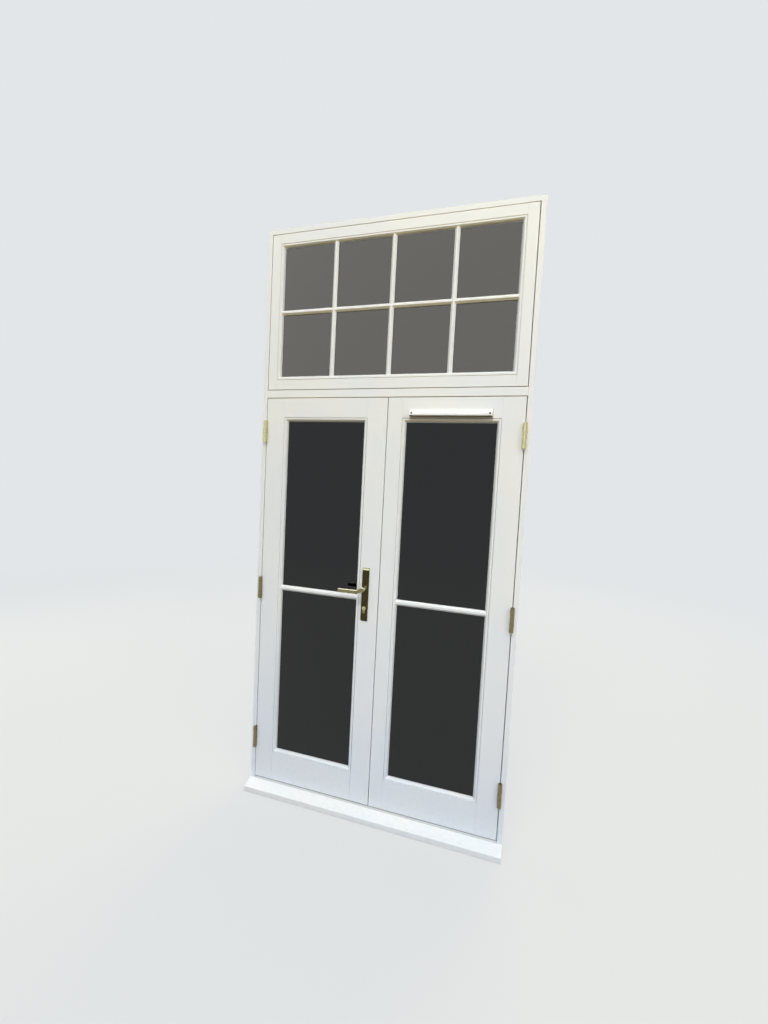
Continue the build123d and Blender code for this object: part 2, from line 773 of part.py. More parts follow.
# Butt hinges: three knuckles on the frame leaf, two on the door leaf, and a loose pin with button tips
def knuckle_spans(first):
    """The lowest and highest points of every other knuckle, about the hinge's middle."""
    pitch = hinge_length / knuckle_count
    return [(-hinge_length / 2 + pitch * i + (knuckle_gap / 2 if i else 0),
             -hinge_length / 2 + pitch * (i + 1) - (knuckle_gap / 2 if i < knuckle_count - 1 else 0))
            for i in range(first, knuckle_count, 2)]


def make_hinge_leaves(side, on_frame, name):
    """Three hinge leaves with their knuckles. side is -1 left or 1 right."""
    seat = side * (opening_half if on_frame else sash_half)
    back = seat + side * (hinge_plate if on_frame else -hinge_plate)
    centre = side * pin_x
    plate_start = hinge_web_back
    with BuildPart() as leaf:
        block((seat, plate_start, -hinge_length / 2), (back, hinge_plate_depth, hinge_length / 2))
        for low, high in knuckle_spans(0 if on_frame else 1):
            block((seat, -hinge_web_front, low), (back, plate_start, high))
            with BuildSketch(Plane.XY.offset(low)):
                with Locations((centre, pin_y)):
                    Circle(knuckle_radius)
            extrude(amount=high - low)
        with Locations((centre, pin_y, 0)):
            Cylinder(pin_radius + pin_clearance, hinge_length, mode=Mode.SUBTRACT)
        spots = [(hinge_screw_near, 0), (hinge_screw_far, hinge_screw_rise), (hinge_screw_far, -hinge_screw_rise)]
        for depth, rise in spots:
            with Locations(Plane(origin=(seat, depth, rise), z_dir=(seat - back, 0, 0))):
                CounterSinkHole(hinge_screw_radius, hinge_screw_head, depth=hinge_plate)
    with BuildPart() as leaves:
        with Locations(*[(0, 0, height) for height in hinge_heights]):
            add(leaf.part)
    save(leaves.part, name)


for hinge_side, side_name in ((-1, "left"), (1, "right")):
    make_hinge_leaves(hinge_side, True, f"hinge_frame_leaves_{side_name}")
    make_hinge_leaves(hinge_side, False, f"hinge_door_leaves_{side_name}")

with BuildPart() as hinge_pin:
    Cylinder(pin_button_radius, hinge_length + 2 * pin_button_height)
    chamfer(hinge_pin.edges(), arris)
    with BuildSketch(Plane.XY.offset(-hinge_length / 2)):
        Circle(pin_button_radius)
        Circle(pin_radius, mode=Mode.SUBTRACT)
    extrude(amount=hinge_length, mode=Mode.SUBTRACT)
with BuildPart() as hinge_pins:
    with Locations(*[(side * pin_x, pin_y, height) for side in (-1, 1) for height in hinge_heights]):
        add(hinge_pin.part)
save(hinge_pins.part, "hinge_pins")

with BuildPart() as bolt_keeps:
    for height in (transom_bottom, sill_seat - keep_thickness):
        with BuildSketch(Plane.XY.offset(height)):
            with Locations((rod_x, rod_y)):
                Rectangle(bolt_plate_width, keep_width)
                Circle(keep_hole_radius, mode=Mode.SUBTRACT)
        extrude(amount=keep_thickness)
save(bolt_keeps.part, "bolt_keeps")


# Handle set on the active door
def make_backplate(face, name):
    """A long backplate with rounded ends. face is 0 for the outside and the door's thickness for the inside."""
    outwards = 1 if face == 0 else -1
    bottom, top = lever_height - plate_drop, lever_height + plate_rise
    front = face - outwards * plate_thickness
    shoulder = front + outwards * (plate_end_radius - (plate_end_radius ** 2 - plate_end_run ** 2) ** 0.5)
    half_way = front + outwards * (plate_end_radius - (plate_end_radius ** 2 - plate_end_run ** 2 / 4) ** 0.5)
    with BuildPart() as plate:
        with BuildSketch(Plane.YZ.offset(handle_x - plate_width / 2)):
            with BuildLine():
                Polyline((shoulder, bottom), (face, bottom), (face, top), (shoulder, top))
                ThreePointArc((shoulder, top), (half_way, top - plate_end_run / 2), (front, top - plate_end_run))
                Line((front, top - plate_end_run), (front, bottom + plate_end_run))
                ThreePointArc((front, bottom + plate_end_run), (half_way, bottom + plate_end_run / 2),
                              (shoulder, bottom))
            make_face()
        extrude(amount=plate_width)
        sides = plate.faces().filter_by(Axis.X).edges()
        chamfer([edge for edge in sides if abs(edge.center().Y - face) > plate_thickness * 0.6], plate_bevel)
        with BuildSketch(across(face)):
            cylinder_outline(turning_clearance)
            with Locations((handle_x, lever_height)):
                Circle(lever_collar_radius + turning_clearance)
        extrude(amount=outwards * plate_thickness, mode=Mode.SUBTRACT)
        for height in handle_bolt_heights:
            if face == 0:
                with Locations(Plane(origin=(handle_x, face, height), z_dir=(0, 1, 0))):
                    Hole(handle_bolt_radius, depth=handle_bolt_blind)
            else:
                with Locations(Plane(origin=(handle_x, face + plate_thickness, height), z_dir=(0, 1, 0))):
                    CounterSinkHole(handle_bolt_radius, handle_bolt_head, depth=plate_thickness)
    save(plate.part, name)


make_backplate(0, "backplate_outer")
make_backplate(sash_thickness, "backplate_inner")

with BuildPart() as handle_bolt:
    inside = sash_thickness + plate_thickness
    with BuildSketch(Plane.XY):
        outline([(0, inside), (handle_bolt_head, inside), (handle_bolt_radius, inside - handle_bolt_head_depth),
                 (handle_bolt_radius, -handle_bolt_blind), (0, -handle_bolt_blind)])
    revolve(axis=Axis.Y)
with BuildPart() as handle_bolts:
    with Locations(*[(handle_x, 0, height) for height in handle_bolt_heights]):
        add(handle_bolt.part)
save(handle_bolts.part, "handle_bolts")

# The lever: a round head on a turned neck, with a flat arm that drops in an easy curve and runs level
arm_back = -lever_standoff
arm_front = arm_back - lever_arm_thickness
arm_z = lever_height - lever_arm_drop
tip_x = handle_x - lever_reach
root_x = handle_x - lever_swoop
with BuildPart() as lever_outer:
    with BuildSketch(across(arm_back)):
        with BuildLine():
            over_head = (handle_x, lever_height + lever_head_radius)
            under_head = (handle_x, lever_height - lever_head_radius)
            RadiusArc(over_head, under_head, lever_head_radius)
            Spline(under_head, (root_x, arm_z - lever_arm_height / 2), tangents=((-1, 0), (-1, 0)))
            Line((root_x, arm_z - lever_arm_height / 2), (tip_x, arm_z - lever_tip_height / 2))
            Line((tip_x, arm_z - lever_tip_height / 2), (tip_x, arm_z + lever_tip_height / 2))
            Line((tip_x, arm_z + lever_tip_height / 2), (root_x, arm_z + lever_arm_height / 2))
            Spline((root_x, arm_z + lever_arm_height / 2), over_head, tangents=((1, 0), (1, 0)))
        make_face()
        fillet(vertices().group_by(Axis.X)[0], lever_tip_height / 3)
    extrude(amount=lever_arm_thickness)
    fillet(lever_outer.edges().filter_by(Plane.XZ), lever_round)
    with BuildSketch(across(arm_back)):
        with Locations((handle_x, lever_height)):
            Circle(lever_neck_radius)
    extrude(amount=-(lever_standoff - plate_thickness))
    with BuildSketch(across(-plate_thickness)):
        with Locations((handle_x, lever_height)):
            Circle(lever_collar_radius)
    extrude(amount=-lever_collar_length)
    with BuildSketch(across(-plate_thickness + lever_collar_length)):
        with Locations((handle_x, lever_height)):
            Rectangle(spindle_size, spindle_size)
    extrude(amount=spindle_engagement + lever_collar_length, mode=Mode.SUBTRACT)
save(lever_outer.part, "lever_outer")

with BuildPart() as lever_inner:
    mirror(lever_outer.part, about=across(middle))
save(lever_inner.part, "lever_inner")

with BuildPart() as spindle:
    with BuildSketch(across(-plate_thickness - spindle_engagement)):
        with Locations((handle_x, lever_height)):
            Rectangle(spindle_size, spindle_size)
    extrude(amount=-(sash_thickness + 2 * (plate_thickness + spindle_engagement)))
save(spindle.part, "spindle")

with BuildPart() as lock_follower:
    with BuildSketch(across(middle - case_thickness / 2)):
        with Locations((handle_x, lever_height)):
            Circle(follower_radius)
            Rectangle(spindle_size, spindle_size, mode=Mode.SUBTRACT)
    extrude(amount=-case_thickness)
    lug_half = case_thickness / 2 - case_wall - bolt_clearance
    block((handle_x + follower_radius - 1, middle - lug_half, lever_height - follower_lug_width / 2),
          (handle_x + follower_lug, middle + lug_half, lever_height + follower_lug_width / 2))
save(lock_follower.part, "lock_follower")

# Cylinder body, its key plug outside and its turn inside
cylinder_front = -plate_thickness - cylinder_proud
cylinder_back = sash_thickness + plate_thickness + cylinder_proud
with BuildPart() as cylinder_body:
    with BuildSketch(across(cylinder_front)):
        cylinder_outline()
        with Locations((handle_x, cylinder_z)):
            Circle(plug_radius, mode=Mode.SUBTRACT)
    extrude(amount=cylinder_front - cylinder_back)
    block((handle_x - cylinder_radius, middle - cam_slot / 2, cylinder_z - cam_slot_floor),
          (handle_x + cylinder_radius, middle + cam_slot / 2, cylinder_z + cylinder_radius), Mode.SUBTRACT)
save(cylinder_body.part, "cylinder_body")

with BuildPart() as key_plug:
    with BuildSketch(across(cylinder_front)):
        with Locations((handle_x, cylinder_z)):
            Circle(plug_radius)
    extrude(amount=cylinder_front - (middle - cam_slot / 2))
    with BuildSketch(across(cylinder_front)):
        with Locations((handle_x, cylinder_z)):
            Rectangle(keyway_width, keyway_height)
    extrude(amount=-keyway_depth, mode=Mode.SUBTRACT)
save(key_plug.part, "key_plug")

with BuildPart() as thumbturn:
    with BuildSketch(across(middle - cam_width / 2)):
        with Locations((handle_x, cylinder_z)):
            Circle(plug_radius)
        with Locations((handle_x, cylinder_z - (cam_radius - cam_lobe / 2) / 2)):
            Rectangle(cam_lobe, cam_radius - cam_lobe / 2)
        with Locations((handle_x, cylinder_z - cam_radius + cam_lobe / 2)):
            Circle(cam_lobe / 2)
    extrude(amount=-cam_width)
    with BuildSketch(across(middle + cam_width / 2)):
        with Locations((handle_x, cylinder_z)):
            Circle(plug_radius - turning_clearance)
    extrude(amount=middle + cam_width / 2 - cylinder_back)
    with BuildSketch(across(cylinder_back)):
        with Locations((handle_x, cylinder_z)):
            Circle(turn_neck_radius)
    extrude(amount=-turn_neck_length)
    with BuildSketch(across(cylinder_back + turn_neck_length)):
        with Locations((handle_x, cylinder_z)):
            SlotOverall(turn_width, turn_thickness, rotation=90)
    extrude(amount=-turn_length)
    fillet(thumbturn.faces().sort_by(Axis.Y)[-1].edges(), turn_thickness / 6)
save(thumbturn.part, "thumbturn")

# Lock case, its faceplate and bolts
with BuildPart() as lock_case:
    block((case_back, middle - case_thickness / 2, case_bottom), (case_front, middle + case_thickness / 2, case_top))
    block((case_back + case_wall, middle - case_thickness / 2 + case_wall, case_bottom + case_wall),
          (case_front - case_wall, middle + case_thickness / 2 - case_wall, case_top - case_wall), Mode.SUBTRACT)
    with BuildSketch(across(0)):
        cylinder_outline(turning_clearance)
        with Locations((handle_x, lever_height)):
            Circle(follower_hole)
    extrude(amount=-sash_thickness, mode=Mode.SUBTRACT)
    bolt_half = case_thickness / 2 - case_wall - bolt_clearance
    for height, size in ((latch_z, latch_height), (deadbolt_z, deadbolt_height)):
        block((case_front - case_wall, middle - bolt_half - bolt_clearance, height - size / 2 - bolt_clearance),
              (case_front, middle + bolt_half + bolt_clearance, height + size / 2 + bolt_clearance), Mode.SUBTRACT)
save(lock_case.part, "lock_case")


def strip_holes(thickness, front, outwards, bottom, top):
    """Screw holes near the ends of a strip let into a meeting edge, and the openings for latch and bolt."""
    for height in (bottom + strip_screw_inset, top - strip_screw_inset):
        with Locations(Plane(origin=(front, middle, height), z_dir=(outwards, 0, 0))):
            CounterSinkHole(strip_screw_radius, strip_screw_head, depth=thickness)


with BuildPart() as lock_faceplate:
    block((case_front, middle - faceplate_width / 2, faceplate_bottom),
          (lock_front, middle + faceplate_width / 2, faceplate_bottom + faceplate_height))
    for height, size in ((latch_z, latch_height), (deadbolt_z, deadbolt_height)):
        block((case_front, middle - bolt_half - bolt_clearance, height - size / 2 - bolt_clearance),
              (lock_front, middle + bolt_half + bolt_clearance, height + size / 2 + bolt_clearance), Mode.SUBTRACT)
    strip_holes(faceplate_thickness, lock_front, 1, faceplate_bottom, faceplate_bottom + faceplate_height)
save(lock_faceplate.part, "lock_faceplate")

with BuildPart() as latch_bolt:
    with BuildSketch(Plane.XY.offset(latch_z - latch_height / 2)):
        outline([(lock_front - latch_length, middle - bolt_half), (lock_front, middle - bolt_half),
                 (lock_front, middle - bolt_half + 2 * bolt_half - latch_bevel),
                 (lock_front - latch_bevel, middle + bolt_half), (lock_front - latch_length, middle + bolt_half)])
    extrude(amount=latch_height)
save(latch_bolt.part, "latch_bolt")

with BuildPart() as dead_bolt:
    block((lock_front - deadbolt_length, middle - bolt_half, deadbolt_z - deadbolt_height / 2),
          (lock_front, middle + bolt_half, deadbolt_z + deadbolt_height / 2))
    chamfer(dead_bolt.faces().sort_by(Axis.X)[-1].edges(), arris)
save(dead_bolt.part, "dead_bolt")

with BuildPart() as strike_plate:
    strike_bottom, strike_top = lever_height - strike_drop, lever_height + strike_rise
    block((strike_front, middle - faceplate_width / 2, strike_bottom),
          (strike_front + strike_thickness, middle + faceplate_width / 2, strike_top))
    for height, size in ((latch_z, latch_height), (deadbolt_z, deadbolt_height)):
        block((strike_front, middle - case_thickness / 2 + case_wall / 2, height - size / 2 - strike_hole_margin),
              (strike_front + strike_thickness, middle + case_thickness / 2 - case_wall / 2,
               height + size / 2 + strike_hole_margin), Mode.SUBTRACT)
    strip_holes(strike_thickness, strike_front, -1, strike_bottom, strike_top)
save(strike_plate.part, "strike_plate")


# Flush bolts of the passive door: a rod with a thumb piece that runs in a slotted plate
with BuildPart() as flush_bolt_plates:
    for end, inward in bolt_ends:
        low = end + inward * bolt_plate_from_end
        high = low + inward * bolt_plate_height
        thumb = end + inward * thumb_from_end
        with BuildSketch(across(sash_thickness)):
            window(rod_x - bolt_plate_width / 2, rod_x + bolt_plate_width / 2, min(low, high), max(low, high))
            with Locations((rod_x, thumb - inward * rod_travel / 2)):
                SlotOverall(rod_travel + 2 * (thumb_radius + rod_clearance), 2 * (thumb_radius + rod_clearance),
                            rotation=90, mode=Mode.SUBTRACT)
        extrude(amount=bolt_plate_thickness)
save(flush_bolt_plates.part, "flush_bolt_plates")


def make_flush_bolt(end, inward, name):
    """One sliding rod, drawn back into the door, with its thumb piece."""
    tip = end + inward * rod_set_back
    with BuildPart() as bolt:
        with BuildSketch(Plane.XY.offset(tip)):
            with Locations((rod_x, rod_y)):
                Circle(rod_radius)
        extrude(amount=inward * rod_length)
        chamfer(bolt.faces().sort_by(Axis.Z)[-1 if inward < 0 else 0].edges(), arris)
        with BuildSketch(across(rod_y)):
            with Locations((rod_x, end + inward * thumb_from_end)):
                Circle(thumb_radius)
        extrude(amount=-(rod_from_face + thumb_proud))
        chamfer(bolt.faces().sort_by(Axis.Y)[-1].edges(), arris)
    save(bolt.part, name)


make_flush_bolt(door_top, -1, "flush_bolt_top")
make_flush_bolt(door_bottom, 1, "flush_bolt_bottom")

# Trickle vent: a hood outside, open below, and a slotted cover inside with a sliding shutter behind it
canopy_left = vent_x - canopy_width / 2
canopy_bottom = canopy_top - canopy_height
with BuildPart() as vent_canopy:
    with BuildSketch(Plane.YZ.offset(canopy_left)):
        outline([(0, canopy_bottom), (0, canopy_top), (-canopy_crown, canopy_top),
                 (-canopy_depth, canopy_bottom + canopy_lip), (-canopy_depth, canopy_bottom)])
    extrude(amount=canopy_width)
    fillet(vent_canopy.edges().filter_by(Axis.X).filter_by(
        lambda edge: -canopy_depth <= edge.center().Y <= -canopy_crown and edge.center().Z > canopy_bottom + arris),
        canopy_round)
    with BuildSketch(Plane.YZ.offset(canopy_left + canopy_end)):
        outline([(canopy_wall, canopy_bottom - canopy_wall), (canopy_wall, canopy_top), (-canopy_crown, canopy_top),
                 (-canopy_depth, canopy_bottom + canopy_lip), (-canopy_depth, canopy_bottom - canopy_wall)])
        offset(amount=-canopy_wall, kind=Kind.INTERSECTION, mode=Mode.REPLACE)
    extrude(amount=canopy_width - 2 * canopy_end, mode=Mode.SUBTRACT)
    for side in (-1, 1):
        spot = (vent_x + side * (canopy_width / 2 - canopy_screw_inset), canopy_bottom + canopy_screw_rise)
        with BuildSketch(across(-canopy_screw_seat)):
            with Locations(spot):
                Circle(canopy_screw_head)
        extrude(amount=canopy_depth - canopy_screw_seat, mode=Mode.SUBTRACT)
        with BuildSketch(across(0)):
            with Locations(spot):
                Circle(canopy_screw_radius)
        extrude(amount=canopy_screw_seat, mode=Mode.SUBTRACT)
save(vent_canopy.part, "vent_canopy")


def grille_slots(shift, mode):
    """The rows of upright slots shared by the cover and its shutter, in the sketch that is open."""
    for side in (-1, 1):
        for index in range(grille_slots_each_side):
            with Locations((vent_x + side * (grille_first_slot + index * grille_slot_pitch) + shift, vent_z)):
                Rectangle(grille_slot_width, grille_slot_height, mode=mode)


controller_back = sash_thickness + controller_depth
channel_front = controller_back - controller_front - shutter_thickness - 2 * shutter_clearance
channel_height = controller_height - 2 * controller_wall
channel_length = shutter_length + shutter_travel + 2 * shutter_clearance
with BuildPart() as vent_controller:
    with BuildSketch(across(sash_thickness)):
        with Locations((vent_x, vent_z)):
            Rectangle(canopy_width, controller_height)
    extrude(amount=-controller_depth)
    fillet(vent_controller.edges().filter_by(Axis.Y), controller_wall)
    with BuildSketch(across(sash_thickness)):
        with Locations((vent_x, vent_z)):
            Rectangle(channel_length, channel_height - 2 * ledge)
    extrude(amount=sash_thickness - channel_front, mode=Mode.SUBTRACT)
    with BuildSketch(across(channel_front)):
        with Locations((vent_x, vent_z)):
            Rectangle(channel_length, channel_height)
    extrude(amount=channel_front - controller_back + controller_front, mode=Mode.SUBTRACT)
    with BuildSketch(across(controller_back)):
        with Locations((vent_x, vent_z)):
            Rectangle(nib_width + shutter_travel + 2 * nib_clearance, nib_height + 2 * nib_clearance)
        grille_slots(0, Mode.ADD)
    extrude(amount=controller_front, mode=Mode.SUBTRACT)
save(vent_controller.part, "vent_controller")

shutter_front = channel_front + shutter_clearance
with BuildPart() as vent_shutter:
    with BuildSketch(across(shutter_front)):
        with Locations((vent_x - shutter_travel / 2, vent_z)):
            Rectangle(shutter_length, channel_height - 2 * shutter_clearance)
        grille_slots(-shutter_travel, Mode.SUBTRACT)
    extrude(amount=-shutter_thickness)
    with BuildSketch(across(shutter_front + shutter_thickness)):
        with Locations((vent_x - shutter_travel / 2, vent_z)):
            Rectangle(nib_width, nib_height)
    extrude(amount=-(shutter_clearance + controller_front + nib_proud))
save(vent_shutter.part, "vent_shutter")
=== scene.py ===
"""The look of a pair of glazed timber french doors under a barred toplight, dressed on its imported
CAD frame."""

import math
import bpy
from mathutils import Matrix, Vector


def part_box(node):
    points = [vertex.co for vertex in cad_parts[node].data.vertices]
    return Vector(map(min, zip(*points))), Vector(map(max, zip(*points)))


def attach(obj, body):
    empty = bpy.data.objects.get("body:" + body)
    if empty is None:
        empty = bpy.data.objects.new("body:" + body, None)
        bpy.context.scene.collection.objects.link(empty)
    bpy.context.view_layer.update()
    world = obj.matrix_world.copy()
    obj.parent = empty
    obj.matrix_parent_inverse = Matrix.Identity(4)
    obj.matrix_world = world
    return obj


bl_info = {
    "name": "Timber French Doors",
    "version": (1, 0, 0),
    "blender": (4, 5, 0),
    "location": "3D View > Sidebar > French Doors",
    "description": "Paint, brass, glass, seals and screws for timber french doors, and a studio",
    "category": "Object",
}

import bpy
import numpy as np
from bpy.props import FloatProperty, FloatVectorProperty, IntProperty, PointerProperty
from mathutils import Matrix, Vector

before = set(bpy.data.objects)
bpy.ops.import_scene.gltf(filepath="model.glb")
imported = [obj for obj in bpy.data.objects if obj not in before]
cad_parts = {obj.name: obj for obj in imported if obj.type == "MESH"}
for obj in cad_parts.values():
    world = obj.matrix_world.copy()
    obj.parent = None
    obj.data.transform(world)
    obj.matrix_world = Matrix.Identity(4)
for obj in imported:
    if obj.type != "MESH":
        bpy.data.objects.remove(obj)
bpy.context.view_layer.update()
MM = 0.001

# Sizes of the CAD that its boxes don't give, in millimetres. The two halves are measured from the
# middle of the doors to the face of the frame and of the sash that the hinge leaves lie in.
BEAD_WIDTH = 15.0
HINGE_LENGTH = 102.0
OPENING_HALF = 589.0
SASH_HALF = 586.0
FLUSH_PLATE_LENGTH = 150.0
HINGE_HOLES = ((11, 0), (21, 34), (21, -34))

# Screw heads in millimetres: radius, rise, width of the slot, depth of the slot, and countersink
CANOPY_SCREW = (4.3, 2.8, 1.2, 1.3, 1.5)
CONTROLLER_SCREW = (2.8, 0.8, 0.8, 0.8, 1.5)
HINGE_SCREW = (4.25, 0.12, 1.1, 0.9, 2.3)
LOCK_PLATE_SCREW = (4.25, 0.12, 1.1, 0.9, 2.2)
FLUSH_BOLT_SCREW = (3.2, 0.9, 0.9, 1.0, 1.2)

# Where a screw sits, in millimetres in from the ends of its piece. On the canopy it is also so far
# up from the foot and forward of the back.
CANOPY_INSET, CANOPY_RISE, CANOPY_SEAT = 9.5, 10, 15
CONTROLLER_INSET = 9
LOCK_PLATE_INSET = 10
FLUSH_PLATE_INSET = 8

# Heights in metres above the sill's underside of a painted cool shade low down, of rain splash at
# the foot and of a painted warm shade high up. The sill keeps a share of the painted cool shade.
COOL_SHADING_BAND = (0.0, 1.3)
SPLASH_BAND = (0.015, 0.30)
WARM_SHADE_BAND = (1.3, 1.9)
SILL_SHADING_SHARE = 0.4

# The joint over the sill, in metres behind the doors' faces: where its painted shade starts and
# ends
JOINT_FRONT = (-0.0004, 0.0006)
JOINT_BACK = (0.006, 0.012)

# The painted shadow in and below the vent's hood, in metres: how far it drops, blurs upwards and
# sideways, and reaches in depth
VENT_SHADOW_DROP = 0.030
VENT_SHADOW_BLUR = 0.001
VENT_SHADOW_SPREAD = 0.004
VENT_SHADOW_DEPTH = (0.014, 0.018)

# Values of a noise between which one tone turns to another. The last two keep to its crests.
SOFT_TURN = (0.35, 0.65)
WIDE_TURN = (0.3, 0.7)
SHEEN_TURN = (0.3, 0.75)
CLOUD_TURN = (0.42, 0.68)
SPECK_TURN = (0.45, 0.75)

# How many times longer than wide the brush lines and the grain are
BRISTLE_LENGTH, GRAIN_LENGTH = 40, 14

# Sizes of the other patterns, in millimetres
PATCH_SIZE, SPLASH_SPOT = 350, 18
TARNISH_SPOT, WIPE_SPACING = 14, 0.6
GLASS_WAVE = 250

# Heights of the reliefs, in millimetres
GRAIN_RELIEF, BRISTLE_RELIEF = 0.12, 0.05
WIPE_RELIEF = 0.012
WAVE_RELIEF = 0.04

# Brass: the share of the tarnish colour at the foot of a dull range, how much rougher tarnish is,
# how far down from the backplates' top a painted highlight reaches and over what height that fades,
# in millimetres, and the heights in metres between which the hinges turn from brown to pale
DULL_SHARE = 0.8
TARNISH_ROUGHER = 0.16
HIGHLIGHT_DEPTH, HIGHLIGHT_BLUR = 7, 3
HINGE_DULL = (1.2, 1.6)

# How steeply a face looks up or down, as the height of its normal
UNDERSIDE = (-0.45, -0.08)
HOOD_UNDERSIDE = (-0.6, -0.15)
UPPER_SIDE = (0.03, 0.3)

# Numbers of the axes, and of a colour mix's sockets
LEVEL_AXIS, UPRIGHT_AXIS = 0, 2
MIX_AMOUNT, MIX_UNDER, MIX_OVER, MIX_RESULT = 0, 6, 7, 2

# The floor fades into the background between these distances from the doors, in metres
FLOOR_FADE = (1.8, 8.0)
FLOOR_RINGS = (0.0, 0.5, 1, 2, 4, 8, 16, 60)
FLOOR_SIDES = 64

# Each light's place, aim, size and colour, and the rays that it is hidden from
LIGHTS = (
    ("gloss", (-6.0, -19.0, 11.0), (0, 0, 2.3), (16, 9.5), "#fffaf0", "diffuse"),
    ("front", (0.3, -6.0, 8.0), (0, 0, 1.2), (5, 3), "#fdfbf2", "glossy"),
    ("low", (0.3, -5.0, 1.6), (0, 0, 0.1), (3, 0.8), "#b0ccff", "glossy"),
    ("overhead", (0.3, -3.0, 18.0), (0, -0.2, 0), (7, 4), "#eef3ff", None),
    ("side", (4.2, -3.0, 3.2), (0, 0, 1.2), (2.5, 2.5), "#fff8ee", "glossy"),
    ("left", (-4.8, 0.9, 2.8), (0, 0, 1.3), (2.5, 2.5), "#f4f4f2", "glossy"),
    ("rear", (1.5, 7.0, 5.0), (0, 0, 1.2), (5, 3), "#fff6ea", "glossy"),
)
# How wide the low light's beam is, in degrees
LOW_SPREAD = 50
SURROUND_COLOUR = "#e5eaf0"


# Colour and nodes


def linear(code):
    """An sRGB hex colour as linear red, green and blue."""
    values = np.array([int(code[i:i + 2], 16) / 255 for i in (1, 3, 5)])
    return tuple(np.where(values <= 0.04045, values / 12.92, ((values + 0.055) / 1.055) ** 2.4))


def opaque(colour):
    """A linear colour with a full alpha, as a node socket wants it."""
    return (*colour, 1.0)


def give_inputs(tree, node, inputs):
    """Links each input, by its name or number, to a socket, or sets it to a plain value."""
    for key, source in inputs.items():
        if isinstance(source, bpy.types.NodeSocket):
            tree.links.new(source, node.inputs[key])
        else:
            node.inputs[key].default_value = source


def add_node(tree, kind, inputs=None, **settings):
    """Adds a node with its settings and its inputs."""
    node = tree.nodes.new(kind)
    for key, value in settings.items():
        setattr(node, key, value)
    give_inputs(tree, node, inputs or {})
    return node


def new_material(name):
    """An empty material with its tree, principled shader and object coordinates."""
    material = bpy.data.materials.new(name)
    material.use_nodes = True
    tree = material.node_tree
    tree.nodes.clear()
    shader = add_node(tree, "ShaderNodeBsdfPrincipled")
    add_node(tree, "ShaderNodeOutputMaterial", {"Surface": shader.outputs[0]})
    place = add_node(tree, "ShaderNodeTexCoord").outputs["Object"]
    return material, tree, shader, place


def drawn_out(along, times):
    """The scale of a pattern whose grains are so many times longer along one axis."""
    return tuple(1 / times if axis == along else 1 for axis in range(3))


def pattern(tree, place, size, scale=(1, 1, 1), detail=2.0, roughness=0.5, distortion=0.0):
    """Noise whose grains are about size millimetres across, in coordinates scaled first."""
    mapped = add_node(tree, "ShaderNodeMapping", {"Vector": place, "Scale": scale})
    return add_node(tree, "ShaderNodeTexNoise",
                    {"Vector": mapped.outputs[0], "Scale": 1 / (size * MM), "Detail": detail,
                     "Roughness": roughness, "Distortion": distortion}).outputs["Fac"]


def extent(tree, *ranges, operation="MULTIPLY"):
    """How far something goes. Each range is (value, low, high, at_low, at_high), a smooth step
    from at_low to at_high while the value goes from low to high. The operation joins them."""
    steps = [add_node(tree, "ShaderNodeMapRange",
                      {"Value": value, "From Min": low, "From Max": high,
                       "To Min": at_low, "To Max": at_high},
                      interpolation_type="SMOOTHSTEP").outputs[0]
             for value, low, high, at_low, at_high in ranges]
    joined = steps[0]
    for step in steps[1:]:
        joined = add_node(tree, "ShaderNodeMath", {0: joined, 1: step},
                          operation=operation).outputs[0]
    return joined


def layer(tree, under, colour, *ranges, operation="MULTIPLY"):
    """Lays a linear colour over another, or over a socket's, to the extent that ranges give."""
    if not isinstance(under, bpy.types.NodeSocket):
        under = opaque(under)
    amount = extent(tree, *ranges, operation=operation)
    return add_node(tree, "ShaderNodeMix",
                    {MIX_AMOUNT: amount, MIX_UNDER: under, MIX_OVER: opaque(colour)},
                    data_type="RGBA").outputs[MIX_RESULT]


def facing_up(tree):
    """How far the surface faces up, from -1 to 1."""
    facing = add_node(tree, "ShaderNodeNewGeometry").outputs["Normal"]
    return add_node(tree, "ShaderNodeSeparateXYZ", {"Vector": facing}).outputs["Z"]


def seen_ray(tree):
    """One on rays from the camera and on those that gloss or glass sends on, and else nothing."""
    path = add_node(tree, "ShaderNodeLightPath")
    seen = path.outputs["Is Camera Ray"]
    for kind in ("Is Glossy Ray", "Is Transmission Ray"):
        seen = add_node(tree, "ShaderNodeMath", {0: seen, 1: path.outputs[kind]},
                        operation="MAXIMUM").outputs[0]
    return seen


def dress(names, material):
    """Gives CAD nodes a material in place of their plain one."""
    for name in names:
        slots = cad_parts[name].data.materials
        slots.clear()
        slots.append(material)


# Materials, each made once


